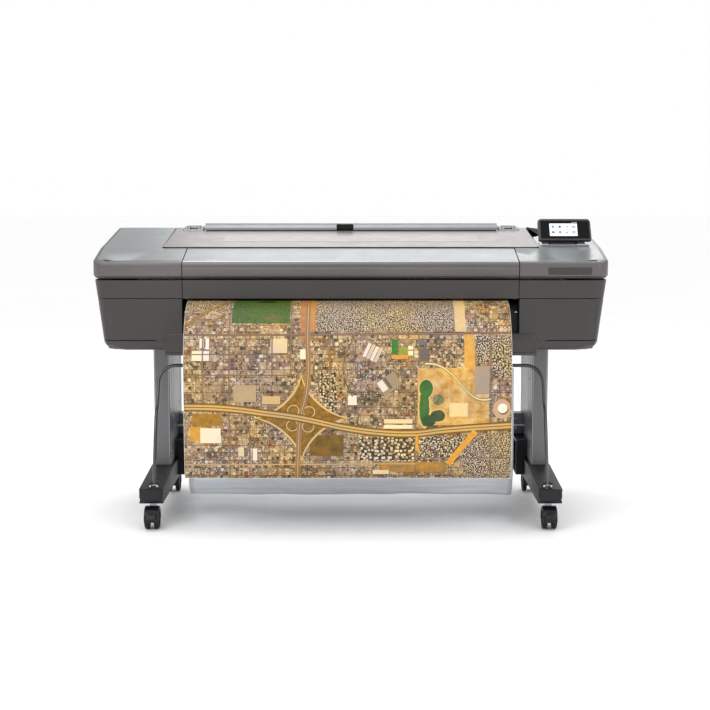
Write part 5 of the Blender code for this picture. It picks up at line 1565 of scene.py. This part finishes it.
def interchange(g):
    """A four-pointed star of dry ground with four loops in it."""
    powers = []
    for value, middle, reach in zip(g.straight, (0.402, 0.200), (0.150, 0.140)):
        powers.append(g.math("POWER", g.math("DIVIDE", g.off(value, middle), reach), 0.66))
    star = g.math("ADD", *powers)
    g.field(g.inside(star, 1.06), "6e5418", "a07a26", 60.0)
    g.paint(g.both(g.inside(star, 1.08), g.math("GREATER_THAN", star, 1.02)), "d9c38c")
    for du, dv in RAMPS:
        ring = g.off(g.ellipse((0.400 + du, 0.200 + dv), (0.019, 0.018)), 1.0)
        g.paint(g.inside(ring, 0.075), "dcc893")


def roads(g):
    g.road(g.line((0.007, 0.524), (0.172, 0.672)), 0.0035, "9c7a4c", "4d4a2c", 0.0060)
    g.road(g.line((0.06, 0.50), (0.165, 0.645)), 0.0012, "a89478")
    g.road(g.curve(((0.0, 0.487), (0.5, 0.489), (1.12, 0.496))), 0.0024, "8b7567", "574840", 0.0042)
    for height, left, right in STREETS_ACROSS:
        g.road(g.line((left, height), (right, height)), 0.0011, "8a7a68", "5b5044", 0.0019)
    for place, low, high in STREETS_UP:
        g.road(g.line((place, low), (place, high)), 0.0014, "8f7f6f", "5d5246", 0.0024)
    g.road(g.curve(((0.0, 0.036), (0.3, 0.038), (0.79, 0.040))), 0.0016, "cdb48a", "9d8558", 0.0026)
    g.road(g.curve(((0.275, 0.575), (0.38, 0.545), (0.49, 0.590)), True), 0.0018, "6e6048")
    g.road(g.curve(((0.27, 0.605), (0.33, 0.560), (0.40, 0.545)), True), 0.0022, "8a7d63")
    main_road = g.curve(MAIN_ROAD, True)
    g.road(main_road, 0.0052, "8a7266", "a98345", 0.0085)
    g.road(main_road, 0.0008, "e0cfae")
    highway = g.curve(HIGHWAY)
    g.road(highway, 0.0098, "a5843f", "765a1c", 0.0145)
    g.paint(g.both(g.inside(highway, 0.0080), g.math("GREATER_THAN", highway, 0.0018)), "cfb47c")
    g.paint(g.inside(highway, 0.0009), "5d4b2a")


def water(g):
    """The lake with its shore and ponds, the shore road, a round tank and two canals."""

    def union(shapes):
        masks = [g.inside(g.ellipse(*shape, g.loose), 1.0) for shape in shapes]
        joined = masks[0]
        for mask in masks[1:]:
            joined = g.math("MAXIMUM", joined, mask)
        return joined

    g.paint(union(SHORE), "e2c887")
    g.field(union(LAKE), "2a6a30", "4a7a34", 30.0)
    for centre, radii, *look in PONDS:
        g.field(g.inside(g.ellipse(centre, radii, g.loose), 1.0), *look)
    g.road(g.curve(SHORE_ROAD), 0.0030, "eadfb9", "5c6a3a", 0.0052)
    for centre, radii, tone in TANK:
        g.paint(g.inside(g.ellipse(centre, radii), 1.0), tone)
    for start, end, half in CANALS:
        g.field(g.inside(g.line(start, end), half), "d69d2f", "e6b041", 60.0)


def aerial(width, length):
    """The print's ink: the town, tinted gold and mauve by turns, with a pale margin round it."""
    g = Aerial("aerial_print", width, length)
    land(g)
    interchange(g)
    roads(g)
    water(g)
    gold = g.mix(1.0, g.colour, (0.96, 0.80, 0.50), "MULTIPLY")
    mauve = g.mix(1.0, g.colour, (0.80, 0.72, 0.70), "MULTIPLY")
    warm = g.mix(g.span(g.noise(g.at, 4.5), 0.40, 0.58), mauve, gold)
    u, v = g.straight
    printed = g.both(g.within(u, 0.0012, width - 0.0012), g.math("GREATER_THAN", v, 0.0015 - FOOT_MARGIN))
    warm = g.mix(printed, (0.80, 0.76, 0.68), warm)
    g.surface(Specular_IOR_Level=0.35)
    fibres = g.noise(g.at, 900.0, 3.0, 0.6)
    return g.finish(warm, g.span(g.noise(g.at, 8.0, 3.0), 0.3, 0.7, 0.50, 0.62), g.bump(fibres, 0.00003, 0.4))


PLATEN_TOP = 0.7966
CURVE_START, CURVE_PULL, CURVE_END = (-0.200, PLATEN_TOP), (-0.430, 0.812), (-0.460, 0.560)
PRINT_FALL = (
    (-0.4594, 0.52), (-0.4588, 0.48), (-0.4580, 0.42), (-0.4562, 0.37), (-0.4538, 0.33), (-0.4520, 0.30),
    (-0.4488, 0.25), (-0.4460, 0.198),
)


def print_path():
    """The sheet's line (Y, Z): flat over the platen, round its front edge, then down."""
    path = [(0.050, PLATEN_TOP), (-0.05, PLATEN_TOP), (-0.13, PLATEN_TOP)]
    for t in (i / 28 for i in range(29)):
        parts = ((1 - t) ** 2, 2 * t * (1 - t), t * t)
        ends = zip(CURVE_START, CURVE_PULL, CURVE_END)
        path.append(tuple(sum(part * value for part, value in zip(parts, values)) for values in ends))
    return path + list(PRINT_FALL)


def print_sheet():
    """The printed sheet: out over the platen, down the front, with the slack waves of wide paper."""
    left, right = (corner[0] for corner in box("print_sheet"))
    width = right - left
    path = print_path()
    places = lengths_along(path)
    length = places[-1]
    columns = 64
    rows = []
    for (y, z), s in zip(path, places):
        hang = min(1.0, max(0.0, (s - 0.55) / 0.35))
        row = []
        for share in (i / columns for i in range(columns, -1, -1)):
            wave = 0.0010 + 0.0022 * math.sin(share * 9.0 + s * 2.0) + 0.0012 * math.sin(share * 23.0 + 1.0)
            row.append(((left + width * share, y + hang * wave, z), share, 1 - s / length))
        rows.append(row)
    MATERIALS["aerial"] = aerial(width, length)
    mesh = cloth_grid(rows, "sheet")
    obj = piece("printed_sheet", mesh, ("aerial", "paper"), "root", "print_sheet", "print")
    modifier = obj.modifiers.new("paper", "SOLIDIFY")
    modifier.thickness = 0.0004
    modifier.offset = -1.0
    modifier.material_offset = 1


print_sheet()


# ---------------------------------------------------------------- floor, light and camera
WORLD_STEPS = ((0.0, 1.0), (0.14, 1.0), (0.27, 0.50), (0.60, 0.42), (0.74, 1.5), (1.0, 1.5))
LIGHTS = (  # name, place, target, power and sides
    ("key", (-2.2, -3.6, 3.2), (0.0, 0.0, 0.7), 62.0, (2.4, 1.6)),
    ("fill", (3.0, -3.2, 2.0), (0.2, 0.0, 0.6), 30.0, (2.0, 1.6)),
    ("top", (-0.6, 0.2, 3.6), (0.0, 0.0, 0.9), 26.0, (3.0, 1.4)),
    ("back", (0.4, 3.6, 2.6), (0.0, 0.0, 0.8), 30.0, (3.0, 1.4)),
)


def studio_floor():
    bm = bmesh.new()
    bmesh.ops.create_grid(bm, x_segments=1, y_segments=1, size=40.0)
    mesh = flat_mesh(bm)
    floor = bpy.data.objects.new("studio_floor", mesh)
    floor.location.z = -0.0005
    bpy.context.scene.collection.objects.link(floor)
    g = Graph("studio_floor")
    patches = g.span(g.noise(g.object_coordinates(), 0.6), 0.3, 0.7)
    mesh.materials.append(g.finish(g.mix(patches, (0.96, 0.96, 0.96), (0.98, 0.98, 0.98)), 0.6))


def studio_world():
    """Light from all round, by height: bright at the floor and above, dimmer at the horizon."""
    world = bpy.data.worlds.new("studio")
    world.use_nodes = True
    tree = world.node_tree
    coordinates = tree.nodes.new("ShaderNodeTexCoord")
    split = tree.nodes.new("ShaderNodeSeparateXYZ")
    ramp = tree.nodes.new("ShaderNodeValToRGB")
    tree.links.new(coordinates.outputs["Generated"], split.inputs[0])
    tree.links.new(split.outputs["Z"], ramp.inputs[0])
    elements = ramp.color_ramp.elements
    while len(elements) < len(WORLD_STEPS):
        elements.new(0.5)
    for element, (place, level) in zip(elements, WORLD_STEPS):
        element.position = place
        element.color = (level, level, level, 1.0)
    tree.links.new(ramp.outputs[0], tree.nodes["Background"].inputs["Color"])
    tree.nodes["Background"].inputs["Strength"].default_value = 1.0
    bpy.context.scene.world = world


def studio_lights():
    for name, place, target, power, sides in LIGHTS:
        light = bpy.data.lights.new(name, "AREA")
        light.energy = power
        light.shape = "RECTANGLE"
        light.size, light.size_y = sides
        lamp = bpy.data.objects.new(name, light)
        lamp.location = place
        lamp.rotation_euler = (Vector(target) - Vector(place)).to_track_quat("-Z", "Y").to_euler()
        bpy.context.scene.collection.objects.link(lamp)


def camera():
    """The photo's view: from the front, a little above."""
    data = bpy.data.cameras.new("camera")
    data.lens = 78.0
    data.sensor_width = 36.0
    obj = bpy.data.objects.new("camera", data)
    obj.location = (0.015, -5.5955, 1.2333)
    obj.rotation_euler = (math.radians(90 - 6.70), 0.0, 0.0)
    bpy.context.scene.collection.objects.link(obj)
    bpy.context.scene.camera = obj
    bpy.context.scene.view_settings.view_transform = "Standard"


studio_floor()
studio_world()
studio_lights()
camera()
